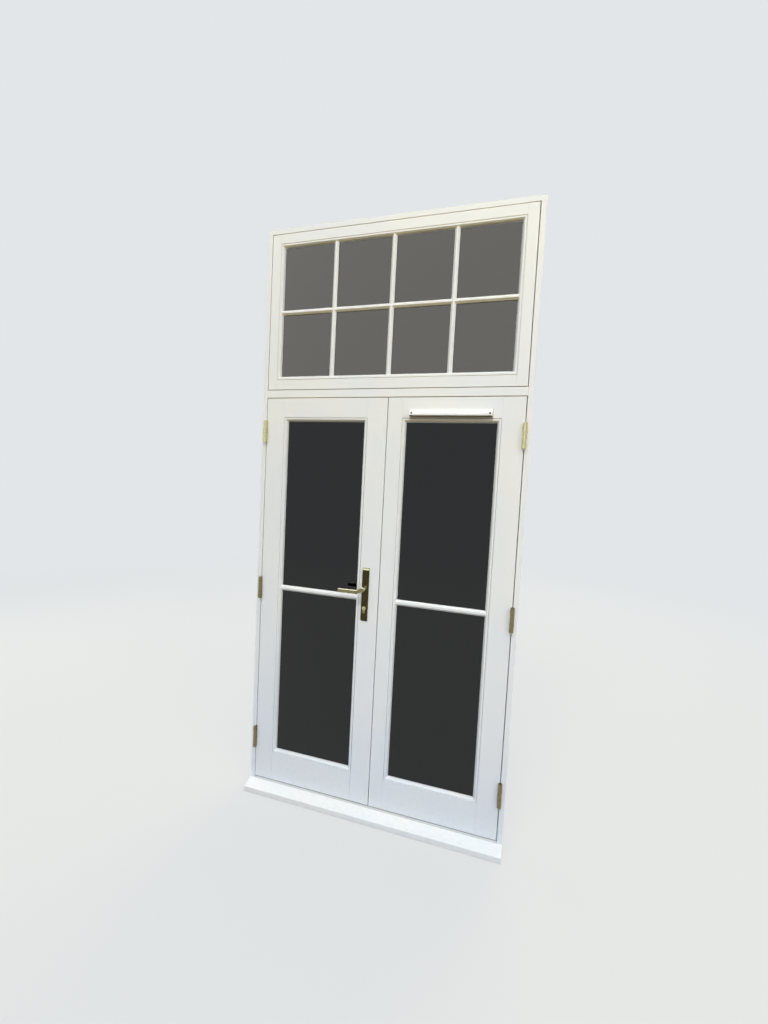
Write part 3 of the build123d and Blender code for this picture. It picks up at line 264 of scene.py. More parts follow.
def painted_timber(name, paint, along, joint=False):
    """Alkyd satin paint brushed on planed softwood. Bristle lines and faint grain run along the
    member's length. A painted cool shade lies low down, darker and bluer towards the bottom, rain
    leaves a little grey at the foot, and high up, what faces down has a painted warm shade. A
    painted brown shadow lies in and below the vent's hood. Where there is a joint, a painted shade
    lies in the gap under the doors."""
    material, tree, shader, place = new_material(name)
    across, depth, height = add_node(tree, "ShaderNodeSeparateXYZ", {"Vector": place}).outputs
    # A real brush leaves finer lines than these, which wouldn't show
    bristles = pattern(tree, place, paint.bristle_spacing, drawn_out(along, BRISTLE_LENGTH),
                       detail=3, roughness=0.6)
    grain = pattern(tree, place, paint.grain_width, drawn_out(along, GRAIN_LENGTH),
                    detail=4, roughness=0.55, distortion=0.4)
    patches = pattern(tree, place, PATCH_SIZE, detail=1)
    splash = pattern(tree, place, SPLASH_SPOT, detail=5, roughness=0.7)
    # A painted cool shade lies low down, darker and bluer towards the bottom; the sill keeps a
    # share
    shading = paint.cool_shading_amount * (SILL_SHADING_SHARE if joint else 1)
    body = layer(tree, paint.colour, paint.cool_colour, (patches, *SOFT_TURN, 0, 1))
    body = layer(tree, body, paint.cool_shading_colour, (height, *COOL_SHADING_BAND, shading, 0))
    body = layer(tree, body, paint.splash_colour,
                 (height, *SPLASH_BAND, paint.splash_amount, 0), (splash, *SPECK_TURN, 0, 1))
    # A painted warm shade on what faces down, high up
    body = layer(tree, body, paint.warm_shade_colour, (facing_up(tree), *UNDERSIDE, 1, 0),
                 (height, *WARM_SHADE_BAND, 0, paint.warm_shade_amount))
    # A painted shade in the gap under the doors, on the sill
    if joint:
        body = layer(tree, body, paint.joint_shade_colour,
                     (depth, *JOINT_FRONT, 0, paint.joint_shade_amount), (depth, *JOINT_BACK, 1, 0))
    # A painted brown shadow in and below the vent's hood, across its width
    hood_low, hood_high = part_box("vent_canopy")
    body = layer(tree, body, paint.vent_shadow_colour,
                 (height, hood_low.z - VENT_SHADOW_DROP, hood_low.z + VENT_SHADOW_BLUR, 0, paint.vent_shadow_amount),
                 (height, hood_high.z - VENT_SHADOW_BLUR, hood_high.z, 1, 0),
                 (across, hood_low.x - VENT_SHADOW_SPREAD, hood_low.x, 0, 1),
                 (across, hood_high.x, hood_high.x + VENT_SHADOW_SPREAD, 1, 0),
                 (depth, *VENT_SHADOW_DEPTH, 1, 0))
    under = add_node(tree, "ShaderNodeBump", {"Height": grain, "Distance": GRAIN_RELIEF * MM})
    relief = add_node(tree, "ShaderNodeBump",
                      {"Height": bristles, "Distance": BRISTLE_RELIEF * MM,
                       "Normal": under.outputs[0]})
    give_inputs(tree, shader, {
        "Base Color": body,
        "Roughness": extent(tree, (bristles, *WIDE_TURN, paint.sheen_low, paint.sheen_high)),
        "IOR": 1.45,
        "Specular IOR Level": 0.35,
        "Normal": relief.outputs[0],
    })
    return material


def worked_brass(name, colour, tarnish, amount, finish, highlighted=None, highlight_top=None, dull=None):
    """Brass with tarnish in soft clouds, as much as amount, over fine marks of wiping that run up
    and down. Finish is the least roughness. What faces up takes the given painted highlight colour,
    and so does what lies above the given top height. Below the first of dull's two heights the
    brass mostly takes the tarnish colour, which fades out by the second: darker towards the bottom."""
    material, tree, shader, place = new_material(name)
    clouds = pattern(tree, place, TARNISH_SPOT, detail=4, roughness=0.6)
    wiping = pattern(tree, place, WIPE_SPACING, (1, 1, 0.06))
    height = add_node(tree, "ShaderNodeSeparateXYZ", {"Vector": place}).outputs["Z"]
    tarnished = [(clouds, *CLOUD_TURN, 0, amount)]
    if dull:
        tarnished.append((height, *dull, DULL_SHARE, 0))
    metal = layer(tree, colour, tarnish, *tarnished, operation="MAXIMUM")
    # A painted highlight on what faces up, and along the top when a height is given
    if highlighted:
        bright = [(facing_up(tree), *UPPER_SIDE, 0, 1)]
        if highlight_top:
            bright.append((height, highlight_top, highlight_top + HIGHLIGHT_BLUR * MM, 0, 1))
        metal = layer(tree, metal, highlighted, *bright, operation="MAXIMUM")
    relief = add_node(tree, "ShaderNodeBump", {"Height": wiping, "Distance": WIPE_RELIEF * MM})
    give_inputs(tree, shader, {
        "Base Color": metal,
        "Metallic": 1.0,
        "Roughness": extent(tree, (clouds, *SHEEN_TURN, finish, finish + TARNISH_ROUGHER)),
        "Normal": relief.outputs[0],
    })
    return material


def float_glass(settings):
    """Float glass tinted dark grey-green, a painted shade for the dark room seen through it. Its
    faces are flat but for the slow wave of the float bath, which bends what they mirror a little."""
    material, tree, shader, place = new_material("tinted_float_glass")
    wave = pattern(tree, place, GLASS_WAVE, detail=0)
    relief = add_node(tree, "ShaderNodeBump", {"Height": wave, "Distance": WAVE_RELIEF * MM})
    give_inputs(tree, shader, {
        "Base Color": opaque(settings.painted_dark_tint),
        "Transmission Weight": 1.0,
        "Roughness": 0.0,
        "IOR": settings.index,
        "Normal": relief.outputs[0],
    })
    return material


def plain_finish(name, colour, shade, roughness, grain, height, metallic=False, under=None):
    """A moulded, coated or plated surface: two close colours in small clouds over a fine relief,
    and where under is given, a painted shade of that colour on what faces down. Grain and height
    are in millimetres."""
    material, tree, shader, place = new_material(name)
    clouds = pattern(tree, place, grain, detail=3)
    body = layer(tree, linear(colour), linear(shade), (clouds, *SOFT_TURN, 0, 1))
    # A painted shade on what faces down
    if under:
        body = layer(tree, body, linear(under), (facing_up(tree), *HOOD_UNDERSIDE, 1, 0))
    relief = add_node(tree, "ShaderNodeBump", {"Height": pattern(tree, place, grain / 8),
                                               "Distance": height * MM})
    give_inputs(tree, shader, {
        "Base Color": body,
        "Roughness": extent(tree, (clouds, *WIDE_TURN, roughness, roughness + 0.1)),
        "Normal": relief.outputs[0],
    })
    # A metal keeps the shader's own index of refraction
    give_inputs(tree, shader, {"Metallic": 1.0} if metallic else {"IOR": 1.5})
    return material


# Meshes


def grid_faces(rows, columns, closed=False):
    """Quads over a grid of rows by columns points, joined round the columns if closed."""
    r, c = np.meshgrid(np.arange(rows - 1), np.arange(columns if closed else columns - 1),
                       indexing="ij")
    n = (c + 1) % columns
    corners = (r * columns + c, r * columns + n, (r + 1) * columns + n, (r + 1) * columns + c)
    return np.stack(corners, -1).reshape(-1, 4)


def new_piece(name, points, faces, material, body, smooth_angle=40.0):
    """Puts points and quads into a mesh, shades it smooth but at edges sharper than an angle, and
    lets it ride on a CAD body."""
    mesh = bpy.data.meshes.new(name)
    mesh.vertices.add(len(points))
    mesh.vertices.foreach_set("co", np.asarray(points, np.float32).ravel())
    mesh.loops.add(faces.size)
    mesh.loops.foreach_set("vertex_index", faces.ravel().astype(np.int32))
    mesh.polygons.add(len(faces))
    starts = np.arange(0, faces.size, faces.shape[1], dtype=np.int32)
    mesh.polygons.foreach_set("loop_start", starts)
    mesh.polygons.foreach_set("use_smooth", np.ones(len(faces), bool))
    mesh.update(calc_edges=True)
    mesh.validate()
    mesh.set_sharp_from_angle(angle=math.radians(smooth_angle))
    mesh.materials.append(material)
    piece = bpy.data.objects.new(name, mesh)
    bpy.context.scene.collection.objects.link(piece)
    if body:
        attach(piece, body)
    return piece


def screw_head(radius, rise, slot, depth, crossed, sink):
    """A screw head about the origin, facing +Z.
    A square grid (a, b) is pressed to a disc by x = a sqrt(1 - b^2 / 2), y = b sqrt(1 - a^2 / 2).
    Its height is a dome, rise (1 - (x^2 + y^2)), less the recess where b, or for a cross also a,
    lies in the slot. The underside is the same disc drawn in to a narrow end, sink below."""
    wall = 0.03
    narrow = 0.52
    half = slot / 2 / radius
    in_slot = half + 1e-9
    reach = 0.6 if crossed else 1.0
    knots = np.array([-1, -0.8, -0.55, -half - wall, -half, half, half + wall, 0.55, 0.8, 1])
    a, b = np.meshgrid(knots, knots, indexing="ij")
    x, y = a * np.sqrt(1 - b * b / 2), b * np.sqrt(1 - a * a / 2)
    cut = (np.abs(b) <= in_slot) & (np.abs(a) <= reach)
    if crossed:
        cut |= (np.abs(a) <= in_slot) & (np.abs(b) <= reach)
    top = rise * (1 - (x * x + y * y)) - depth * cut
    n = len(knots)
    ring = np.array([*range(n), *range(2 * n - 1, n * n, n), *range(n * n - 2, n * n - n - 1, -1),
                     *range(n * n - 2 * n, 0, -n)])
    upper = np.stack([x * radius, y * radius, top], -1).reshape(-1, 3)
    lower = np.stack([x * radius * narrow, y * radius * narrow, np.full_like(x, -sink)],
                     -1).reshape(-1, 3)
    caps = grid_faces(n, n)
    sides = np.stack([ring, np.roll(ring, -1), np.roll(ring, -1) + n * n, ring + n * n], -1)
    return np.concatenate([upper, lower]), np.concatenate([caps[:, ::-1], sides, caps + n * n])


def screws(name, spots, normal, size, material, body, seed, crossed=False):
    """Copies of one screw head at each spot, facing normal, each turned by its own angle."""
    radius, rise, width, depth, sink = (value * MM for value in size)
    points, faces = screw_head(radius, rise, width, depth, crossed, sink)
    turns = np.random.default_rng(seed).uniform(0, math.pi, len(spots))
    out = Vector(normal).to_track_quat("Z", "Y").to_matrix()
    turned = [np.array(out @ Matrix.Rotation(t, 3, "Z")) for t in turns]
    cloud = np.concatenate([points @ m.T + np.asarray(s) for m, s in zip(turned, spots)])
    quads = np.concatenate([faces + i * len(points) for i in range(len(spots))])
    return new_piece(name, cloud, quads, material, body)


def rectangle_sweep(left, right, bottom, top, profile):
    """A profile of (inset, depth) points carried round an upright rectangle with mitred corners.
    Point (u, y) of the profile gives the rectangle drawn in by u, at depth y. The profile is
    closed."""
    u, y = np.array(profile).T
    corners = ((left + u, bottom + u), (right - u, bottom + u), (right - u, top - u),
               (left + u, top - u))
    sides = np.stack([np.stack([x, y, z], -1) for x, z in corners])
    n = len(profile)
    side, point = np.meshgrid(np.arange(4), np.arange(n), indexing="ij")
    following, beside = (side + 1) % 4, (point + 1) % n
    faces = np.stack([side * n + point, following * n + point,
                      following * n + beside, side * n + beside], -1)
    return sides.reshape(-1, 3), faces.reshape(-1, 4)


# Settings


def colour_setting(name, description, code):
    """A colour, from its hex code."""
    return FloatVectorProperty(name=name, description=description, subtype="COLOR", min=0, max=1,
                               default=linear(code))


def share_setting(name, description, default):
    """A share between nothing and all."""
    return FloatProperty(name=name, description=description, subtype="FACTOR", min=0, max=1,
                         default=default)


def power_setting(name, description, default):
    """A light's power in watts."""
    return FloatProperty(name=name, description=description, unit="POWER", min=0, default=default)


class FrenchDoorsPaint(bpy.types.PropertyGroup):
    """Colours and texture of the painted timber."""

    colour: colour_setting("Paint", "Colour of the satin paint", "#ecece6")
    cool_colour: colour_setting("Cool Paint", "Paint where it has aged slightly cooler", "#e8eae8")
    splash_colour: colour_setting("Rain Splash", "Grey left by rain near the sill", "#b9b8b0")
    splash_amount: share_setting("Splash Amount", "How much of the foot is soiled", 0.2)
    # A painted warm shade on what faces down, high up
    warm_shade_colour: colour_setting("Warm Shade", "Paint that yellowed where it faces down",
                                     "#e6dcb4")
    warm_shade_amount: share_setting("Warm Shade Amount", "How far that paint has yellowed", 0.85)
    # A painted cool shade, darker and bluer towards the bottom
    cool_shading_colour: colour_setting("Cool Shading", "Thin cool film on the lower half", "#c6d2e4")
    cool_shading_amount: share_setting("Shading Amount", "How strong that film is at the foot", 0.38)
    # A painted brown shadow in and below the vent's hood
    vent_shadow_colour: colour_setting("Vent Shadow", "Brown dust that the draught leaves at the vent",
                                "#ab9468")
    vent_shadow_amount: share_setting("Vent Shadow Amount", "How thick that dust is", 0.85)
    # A painted shade in the gap under the doors
    joint_shade_colour: colour_setting("Joint Shade", "Grime in the joint under the doors", "#6e6b64")
    joint_shade_amount: share_setting("Joint Amount", "How much grime lies in that joint", 0.8)
    bristle_spacing: FloatProperty(name="Bristle Spacing", default=1.6, min=0.2,
                                   description="Spacing of brush lines in millimetres")
    grain_width: FloatProperty(name="Grain Width", default=7.0, min=0.5,
                               description="Width of grain under the paint in millimetres")
    sheen_low: share_setting("Least Roughness", "Roughness on the crest of a brush line", 0.30)
    sheen_high: share_setting("Most Roughness", "Roughness between brush lines", 0.42)


class FrenchDoorsBrass(bpy.types.PropertyGroup):
    """Colours of the brass furniture."""

    # Painted near black for the dark surroundings that polished plates mirror, with faint tarnish
    plate_colour: colour_setting("Plate", "Brass of the backplates and lock plates", "#433c20")
    bright_colour: colour_setting("Lever", "Brass that hands keep bright", "#8f8960")
    # A painted highlight on the plates where they face up
    plate_highlight_colour: colour_setting("Plate Highlight", "Brass of the plates where it faces up", "#aeb08c")
    # A painted highlight on the levers where they face up
    top_highlight_colour: colour_setting("Top Highlight", "Brass that is rubbed bright from above",
                                  "#f2ebcb")
    hinge_colour: colour_setting("Hinge", "Brass of the hinges and the cylinder", "#d8d19c")
    hinge_lower_colour: colour_setting("Lower Hinge Colour", "Brown brass of the lower hinges", "#6b5a3c")
    tarnish_colour: colour_setting("Tarnish", "Brass where it has dulled", "#463f25")


class FrenchDoorsGlass(bpy.types.PropertyGroup):
    """Tint of the glazing, and the sealant at its edge."""

    # A dark tint: painted shade that stands for the dark room seen through clear glass
    painted_dark_tint: colour_setting("Painted Dark Tint", "Colour that one pane lets through", "#1b1e1c")
    index: FloatProperty(name="Refractive Index", default=1.48, min=1, max=2,
                         description="Index of refraction of the glass")
    sealant_width: FloatProperty(name="Sealant Width", default=2.4, min=0.5,
                                 description="Width of the sealant fillet in millimetres")


class FrenchDoorsStudio(bpy.types.PropertyGroup):
    """Camera, lights and floor."""

    eye: FloatVectorProperty(name="Camera Place", description="Where the camera stands",
                             subtype="TRANSLATION", unit="LENGTH",
                             default=(0.58218, -1.86728, 1.53172))
    aim: FloatVectorProperty(name="Camera Angles", description="Azimuth, elevation and roll",
                             subtype="EULER", unit="ROTATION",
                             default=(-0.29405268, -0.06176776, 0.05101671))
    focal_pixels: FloatProperty(name="Focal Length", default=442.4606, min=1,
                                description="Focal length in pixels of the photograph")
    picture_height: IntProperty(name="Picture Height", subtype="PIXEL", default=1024,
                                description="Height of the picture, which is its longer side")
    background: colour_setting("Background", "Pale background and far floor", "#e3e6e8")
    floor_colour: colour_setting("Floor", "Floor as the light on the object sees it", "#7a7364")
    floor_glow: colour_setting("Floor Glow", "Colour that brings the floor up to the background",
                               "#dce4ec")
    floor_lift: share_setting("Floor Lift", "How far it is brought up where it is seen", 0.72)
    gloss_power: power_setting("Gloss Light", "Light that only gloss shows", 1350.0)
    front_power: power_setting("Front Light", "High soft light before the doors", 425.0)
    low_power: power_setting("Low Light", "Cool light low before the sill", 5.0)
    overhead_power: power_setting("Overhead Light", "High light above the sill", 400.0)
    side_power: power_setting("Side Light", "Light on the right", 80.0)
    left_power: power_setting("Left Light", "Light on the left", 75.0)
    rear_power: power_setting("Rear Light", "Light on the room side", 340.0)
    sky_strength: FloatProperty(name="Surround", default=0.56, min=0,
                                description="Strength of the even light from all sides")


class FrenchDoorsSettings(bpy.types.PropertyGroup):
    """All settings of the add-on."""

    paint: PointerProperty(type=FrenchDoorsPaint)
    brass: PointerProperty(type=FrenchDoorsBrass)
    glass: PointerProperty(type=FrenchDoorsGlass)
    studio: PointerProperty(type=FrenchDoorsStudio)


# Operators

UPRIGHTS = ("jamb_left", "jamb_right", "toplight_stile_left", "toplight_stile_right",
            "left_stile_hinge", "left_stile_meeting", "right_stile_hinge", "right_stile_meeting",
            "left_beads", "right_beads", "toplight_bars_outer", "toplight_bars_inner")
LEVELS = ("head", "transom", "toplight_rail_top", "toplight_rail_bottom", "left_rail_top",
          "left_rail_bottom", "right_rail_top", "right_rail_bottom", "toplight_beads",
          "left_bars", "right_bars")
BACKPLATES = ("backplate_outer", "backplate_inner", "handle_bolts")
PLATES = ("lock_faceplate", "strike_plate", "latch_bolt", "dead_bolt", "flush_bolt_plates",
          "flush_bolt_top", "flush_bolt_bottom", "bolt_keeps")
HANDLED = ("lever_outer", "lever_inner", "thumbturn")
CYLINDER = ("cylinder_body", "key_plug")
HINGES = ("hinge_frame_leaves_left", "hinge_frame_leaves_right", "hinge_door_leaves_left",
          "hinge_door_leaves_right", "hinge_pins")


class FRENCHDOORS_OT_timber(bpy.types.Operator):
    """Paint the frame, the doors and the toplight"""

    bl_idname = "frenchdoors.timber"
    bl_label = "Painted Timber"

    def execute(self, context):
        paint = context.scene.french_doors.paint
        dress(UPRIGHTS, painted_timber("satin_painted_softwood_upright", paint, UPRIGHT_AXIS))
        dress(LEVELS, painted_timber("satin_painted_softwood_level", paint, LEVEL_AXIS))
        dress(("sill",), painted_timber("satin_painted_hardwood_sill", paint, LEVEL_AXIS,
                                        joint=True))
        return {"FINISHED"}


class FRENCHDOORS_OT_brass(bpy.types.Operator):
    """Finish the handles, lock plates, bolts and hinges in brass"""

    bl_idname = "frenchdoors.brass"
    bl_label = "Brass Furniture"

    def execute(self, context):
        brass = context.scene.french_doors.brass
        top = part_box("backplate_outer")[1].z
        # Cast brass painted near black for the dark surroundings it mirrors, with faint tarnish,
        # and a painted highlight along its top edge and on what faces up
        dress(BACKPLATES, worked_brass(
            "tarnished_cast_brass", brass.plate_colour, brass.tarnish_colour, amount=0.75,
            finish=0.22, highlighted=brass.plate_highlight_colour, highlight_top=top - HIGHLIGHT_DEPTH * MM))
        # Rolled brass, painted as dark, with a painted highlight on what faces up
        dress(PLATES, worked_brass(
            "tarnished_rolled_brass", brass.plate_colour, brass.tarnish_colour, amount=0.75,
            finish=0.22, highlighted=brass.plate_highlight_colour))
        # Cast brass that hands polish, paler than the plates, with a painted highlight on what
        # faces up
        dress(HANDLED, worked_brass(
            "hand_polished_brass", brass.bright_colour, brass.plate_colour, amount=0.25,
            finish=0.18, highlighted=brass.top_highlight_colour))
        # Turned brass, bright at the plug and dull at its foot
        cylinder_low, cylinder_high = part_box("cylinder_body")
        dress(CYLINDER, worked_brass(
            "turned_brass_cylinder", brass.hinge_colour, brass.tarnish_colour, amount=0.5,
            finish=0.22, dull=(cylinder_low.z, cylinder_high.z)))
        # Drawn brass, pale on the upper hinges and brown below
        dress(HINGES, worked_brass(
            "drawn_brass", brass.hinge_colour, brass.hinge_lower_colour, amount=0.2,
            finish=0.22, dull=HINGE_DULL))
        return {"FINISHED"}


class FRENCHDOORS_OT_glazing(bpy.types.Operator):
    """Glaze the sashes, with their spacers, and run sealant round the glass"""

    bl_idname = "frenchdoors.glazing"
    bl_label = "Glazing"

    def execute(self, context):
        glass = context.scene.french_doors.glass
        dress(("left_glass", "right_glass", "toplight_glass"), float_glass(glass))
        # Rolled aluminium, dull from its anodising
        dress(("left_spacer", "right_spacer", "toplight_spacer"),
              plain_finish("anodised_aluminium_spacer", "#8b8d8e", "#7d7f80", roughness=0.42,
                           grain=4, height=0.02, metallic=True))
        # Silicone, tooled smooth while wet, so it has a soft even sheen
        sealant = plain_finish("tooled_silicone_sealant", "#c9ccca", "#bfc2c0", roughness=0.45,
                               grain=10, height=0.03)
        width, bead = glass.sealant_width * MM, BEAD_WIDTH * MM
        tucked, bedded, feather = -0.6 * MM, 0.05 * MM, 0.1 * MM
        hollow_in, hollow_out = width * 0.28, width * 0.36
        for sash, body in (("left", "left_door"), ("right", "right_door"), ("toplight", "frame")):
            low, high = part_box(sash + "_beads")
            pane_low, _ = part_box(sash + "_glass")
            pane = pane_low.y
            profile = ((tucked, pane + bedded), (tucked, pane - width),
                       (hollow_in, pane - hollow_out), (width, pane - feather),
                       (width, pane + bedded))
            points, faces = rectangle_sweep(low.x + bead, high.x - bead, low.z + bead,
                                            high.z - bead, profile)
            new_piece(f"{sash}_sealant", points, faces, sealant, body,
                      smooth_angle=30)
        return {"FINISHED"}


class FRENCHDOORS_OT_seals_and_steel(bpy.types.Operator):
    """Finish the seals, the lock case and its inner parts"""

    bl_idname = "frenchdoors.seals_and_steel"
    bl_label = "Seals and Steel"

    def execute(self, context):
        # Rubber, extruded, matt with a faint bloom
        dress(("frame_seals", "meeting_seal"),
              plain_finish("extruded_rubber_seal", "#1a1b1c", "#232425", roughness=0.55,
                           grain=12, height=0.04))
        # Steel, zinc plated, which gives it a faint spangle
        dress(("lock_case", "spindle", "lock_follower"),
              plain_finish("zinc_plated_steel", "#a7a9a8", "#8f9293", roughness=0.28, grain=6,
                           height=0.02, metallic=True))
        return {"FINISHED"}


class FRENCHDOORS_OT_vent(bpy.types.Operator):
    """Finish the trickle vent and drive its screws"""

    bl_idname = "frenchdoors.vent"
    bl_label = "Trickle Vent"

    def execute(self, context):
        # Polyvinyl chloride, moulded with a fine spark finish, with a painted brown shade where it
        # faces down
        dress(("vent_canopy", "vent_controller", "vent_shutter"),
              plain_finish("moulded_vinyl", "#eaebe7", "#e6e7e3", roughness=0.5, grain=10,
                           height=0.03, under="#463a27"))
        # Steel, blackened, so that its oxide is dark and half matt
        steel = plain_finish("blackened_steel_screw", "#2e2d2a", "#232220", roughness=0.45,
                             grain=2, height=0.01)
        low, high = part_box("vent_canopy")
        inset = CANOPY_INSET * MM
        seat, height = high.y - CANOPY_SEAT * MM, low.z + CANOPY_RISE * MM
        spots = [(x, seat, height) for x in (low.x + inset, high.x - inset)]
        screws("vent_canopy_screws", spots, (0, -1, 0), CANOPY_SCREW, steel, "right_door",
               seed=3, crossed=True)
        low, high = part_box("vent_controller")
        inset = CONTROLLER_INSET * MM
        spots = [(x, high.y, (low.z + high.z) / 2) for x in (low.x + inset, high.x - inset)]
        screws("vent_controller_screws", spots, (0, 1, 0), CONTROLLER_SCREW, steel, "right_door",
               seed=4, crossed=True)
        return {"FINISHED"}


class FRENCHDOORS_OT_hinge_screws(bpy.types.Operator):
    """Drive three countersunk screws into each hinge leaf"""

    bl_idname = "frenchdoors.hinge_screws"
    bl_label = "Hinge Screws"

    def execute(self, context):
        brass = context.scene.french_doors.brass
        # Turned brass, driven once and left to dull in its slot
        material = worked_brass("turned_brass_screw", brass.hinge_colour, brass.tarnish_colour,
                                amount=0.6, finish=0.2)
        half = HINGE_LENGTH * MM / 2
        for side, sign, door in (("left", -1, "left_door"), ("right", 1, "right_door")):
            for part, body in (("frame", "frame"), ("door", door)):
                low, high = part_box(f"hinge_{part}_leaves_{side}")
                face = sign * (OPENING_HALF if part == "frame" else SASH_HALF) * MM
                toward = -sign if part == "frame" else sign
                centres = (low.z + half, (low.z + high.z) / 2, high.z - half)
                spots = [(face, y * MM, z + rise * MM) for z in centres for y, rise in HINGE_HOLES]
                screws(f"hinge_screws_{part}_{side}", spots, (toward, 0, 0), HINGE_SCREW,
                       material, body, seed=11 + sign)
        return {"FINISHED"}


class FRENCHDOORS_OT_lock_screws(bpy.types.Operator):
    """Drive the screws of the lock plates and of the flush bolts"""

    bl_idname = "frenchdoors.lock_screws"
    bl_label = "Lock Screws"

    def execute(self, context):
        brass = context.scene.french_doors.brass
        # Turned brass, as dark as the plates that it holds
        material = worked_brass("turned_brass_lock_screw", brass.plate_colour,
                                brass.tarnish_colour, amount=0.6, finish=0.2)
        inset = LOCK_PLATE_INSET * MM
        plates = (("lock_faceplate", "left_door", 1), ("strike_plate", "right_door", -1))
        for node, body, out in plates:
            low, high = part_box(node)
            face = high.x if out > 0 else low.x
            spots = [(face, (low.y + high.y) / 2, z) for z in (low.z + inset, high.z - inset)]
            screws(node + "_screws", spots, (out, 0, 0), LOCK_PLATE_SCREW, material, body,
                   seed=21 + out)
        low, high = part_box("flush_bolt_plates")
        middle = (low.x + high.x) / 2
        length, inset = FLUSH_PLATE_LENGTH * MM, FLUSH_PLATE_INSET * MM
        heights = (low.z + inset, low.z + length - inset, high.z - length + inset, high.z - inset)
        screws("flush_bolt_screws", [(middle, high.y, z) for z in heights], (0, 1, 0),
               FLUSH_BOLT_SCREW, material, "right_door", seed=31)
        return {"FINISHED"}


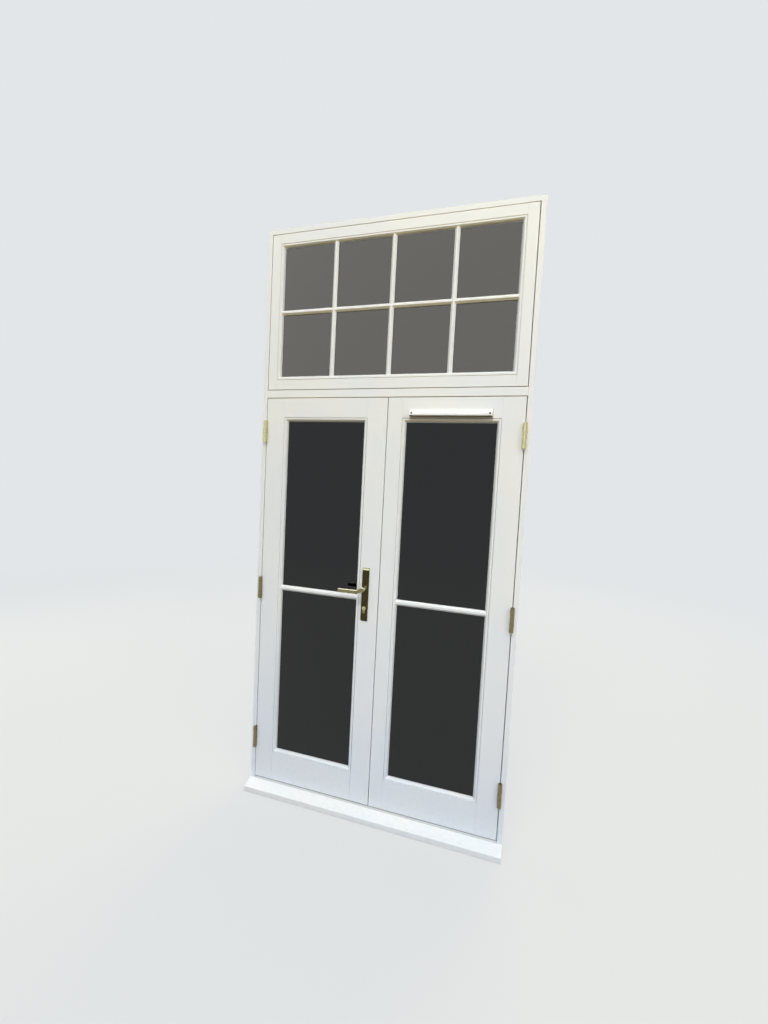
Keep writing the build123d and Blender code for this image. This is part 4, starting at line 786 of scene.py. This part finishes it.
class FRENCHDOORS_OT_studio(bpy.types.Operator):
    """Lay the floor, set the lights and stand the camera where the photograph was taken"""

    bl_idname = "frenchdoors.studio"
    bl_label = "Studio"

    def execute(self, context):
        studio = context.scene.french_doors.studio
        scene = context.scene
        scene.view_settings.view_transform = "Standard"
        self.make_world(scene, studio)
        self.make_floor(studio)
        for name, place, target, size, colour, hidden in LIGHTS:
            power = getattr(studio, f"{name}_power")
            light = self.make_light(f"{name}_light", place, target, size, power, colour)
            if hidden:
                setattr(light, f"visible_{hidden}", False)
        # A narrow beam keeps the low light off the floor beside the doors
        bpy.data.lights["low_light"].spread = math.radians(LOW_SPREAD)
        self.make_camera(scene, studio)
        return {"FINISHED"}

    def make_world(self, scene, studio):
        """An even surround for light, and the pale background where it is seen."""
        world = bpy.data.worlds.new("studio_surround")
        scene.world = world
        world.use_nodes = True
        tree = world.node_tree
        tree.nodes.clear()
        lit = add_node(tree, "ShaderNodeBackground", {"Color": opaque(linear(SURROUND_COLOUR)),
                                                      "Strength": studio.sky_strength})
        shown = add_node(tree, "ShaderNodeBackground", {"Color": opaque(studio.background),
                                                        "Strength": 1.0})
        mixed = add_node(tree, "ShaderNodeMixShader",
                         {0: seen_ray(tree), 1: lit.outputs[0], 2: shown.outputs[0]})
        add_node(tree, "ShaderNodeOutputWorld", {"Surface": mixed.outputs[0]})

    def make_floor(self, studio):
        """A wide round floor that turns into the background far away. Its points lie at radius r
        and turn t, so at (r cos t, r sin t, 0)."""
        material, tree, shader, place = new_material("matt_studio_floor")
        seen = seen_ray(tree)
        lift = add_node(tree, "ShaderNodeMath", {0: seen, 1: studio.floor_lift},
                        operation="MULTIPLY")
        give_inputs(tree, shader, {
            "Base Color": opaque(studio.floor_colour),
            "Roughness": 0.75,
            "Emission Color": opaque(studio.floor_glow),
            "Emission Strength": lift.outputs[0],
        })
        distance = add_node(tree, "ShaderNodeVectorMath", {0: place}, operation="LENGTH")
        faded = extent(tree, (distance.outputs["Value"], *FLOOR_FADE, 0, 1))
        far = add_node(tree, "ShaderNodeMath", {0: faded, 1: seen}, operation="MULTIPLY")
        glow = add_node(tree, "ShaderNodeEmission", {"Color": opaque(studio.background),
                                                     "Strength": 1.0})
        mixed = add_node(tree, "ShaderNodeMixShader",
                         {0: far.outputs[0], 1: shader.outputs[0], 2: glow.outputs[0]})
        give_inputs(tree, tree.nodes["Material Output"], {"Surface": mixed.outputs[0]})
        turn = np.linspace(0, 2 * math.pi, FLOOR_SIDES, endpoint=False)
        r, t = np.meshgrid(np.array(FLOOR_RINGS), turn, indexing="ij")
        points = np.stack([r * np.cos(t), r * np.sin(t), np.zeros_like(r)], -1).reshape(-1, 3)
        faces = grid_faces(len(FLOOR_RINGS), FLOOR_SIDES, closed=True)
        floor = new_piece("floor", points, faces, material, None)

    def make_light(self, name, place, target, size, power, colour):
        """A wide soft light aimed at a point, seen neither directly nor through glass."""
        data = bpy.data.lights.new(name, "AREA")
        data.shape, data.energy, data.color = "RECTANGLE", power, linear(colour)
        data.size, data.size_y = size
        light = bpy.data.objects.new(name, data)
        light.location = place
        aim = (Vector(target) - Vector(place)).to_track_quat("-Z", "Y")
        light.rotation_euler = aim.to_euler()
        light.visible_camera = light.visible_transmission = False
        bpy.context.scene.collection.objects.link(light)
        return light

    def make_camera(self, scene, studio):
        """The camera's forward axis comes from azimuth and elevation, and roll turns it about
        that axis."""
        azimuth, elevation, roll = studio.aim
        forward = Vector((math.sin(azimuth) * math.cos(elevation),
                          math.cos(azimuth) * math.cos(elevation), math.sin(elevation)))
        level = Vector((math.cos(azimuth), -math.sin(azimuth), 0))
        upward = level.cross(forward)
        right = math.cos(roll) * level + math.sin(roll) * upward
        up = -math.sin(roll) * level + math.cos(roll) * upward
        data = bpy.data.cameras.new("camera")
        data.lens = studio.focal_pixels / studio.picture_height * data.sensor_width
        camera = bpy.data.objects.new("camera", data)
        camera.matrix_world = Matrix((right, up, -forward)).transposed().to_4x4()
        camera.location = studio.eye
        scene.collection.objects.link(camera)
        scene.camera = camera


STEPS = (FRENCHDOORS_OT_studio, FRENCHDOORS_OT_timber, FRENCHDOORS_OT_brass,
         FRENCHDOORS_OT_glazing, FRENCHDOORS_OT_seals_and_steel, FRENCHDOORS_OT_vent,
         FRENCHDOORS_OT_hinge_screws, FRENCHDOORS_OT_lock_screws)


class FRENCHDOORS_PT_panel(bpy.types.Panel):
    """The add-on's place in the sidebar"""

    bl_idname = "FRENCHDOORS_PT_panel"
    bl_label = "French Doors"
    bl_space_type = "VIEW_3D"
    bl_region_type = "UI"
    bl_category = "French Doors"

    def draw(self, context):
        settings = context.scene.french_doors
        for group in (settings.paint, settings.brass, settings.glass, settings.studio):
            box = self.layout.box()
            for name in group.__annotations__:
                box.prop(group, name)
        for step in STEPS:
            self.layout.operator(step.bl_idname)


CLASSES = (FrenchDoorsPaint, FrenchDoorsBrass, FrenchDoorsGlass, FrenchDoorsStudio,
           FrenchDoorsSettings, *STEPS, FRENCHDOORS_PT_panel)


def register():
    """Registers the classes and the scene's settings."""
    for item in CLASSES:
        bpy.utils.register_class(item)
    bpy.types.Scene.french_doors = PointerProperty(type=FrenchDoorsSettings)


def unregister():
    """Takes the settings and the classes away again."""
    del bpy.types.Scene.french_doors
    for item in reversed(CLASSES):
        bpy.utils.unregister_class(item)


def main():
    """Runs every step in order."""
    register()
    for step in STEPS:
        group, name = step.bl_idname.split(".")
        getattr(getattr(bpy.ops, group), name)()


if __name__ == "__main__":
    main()
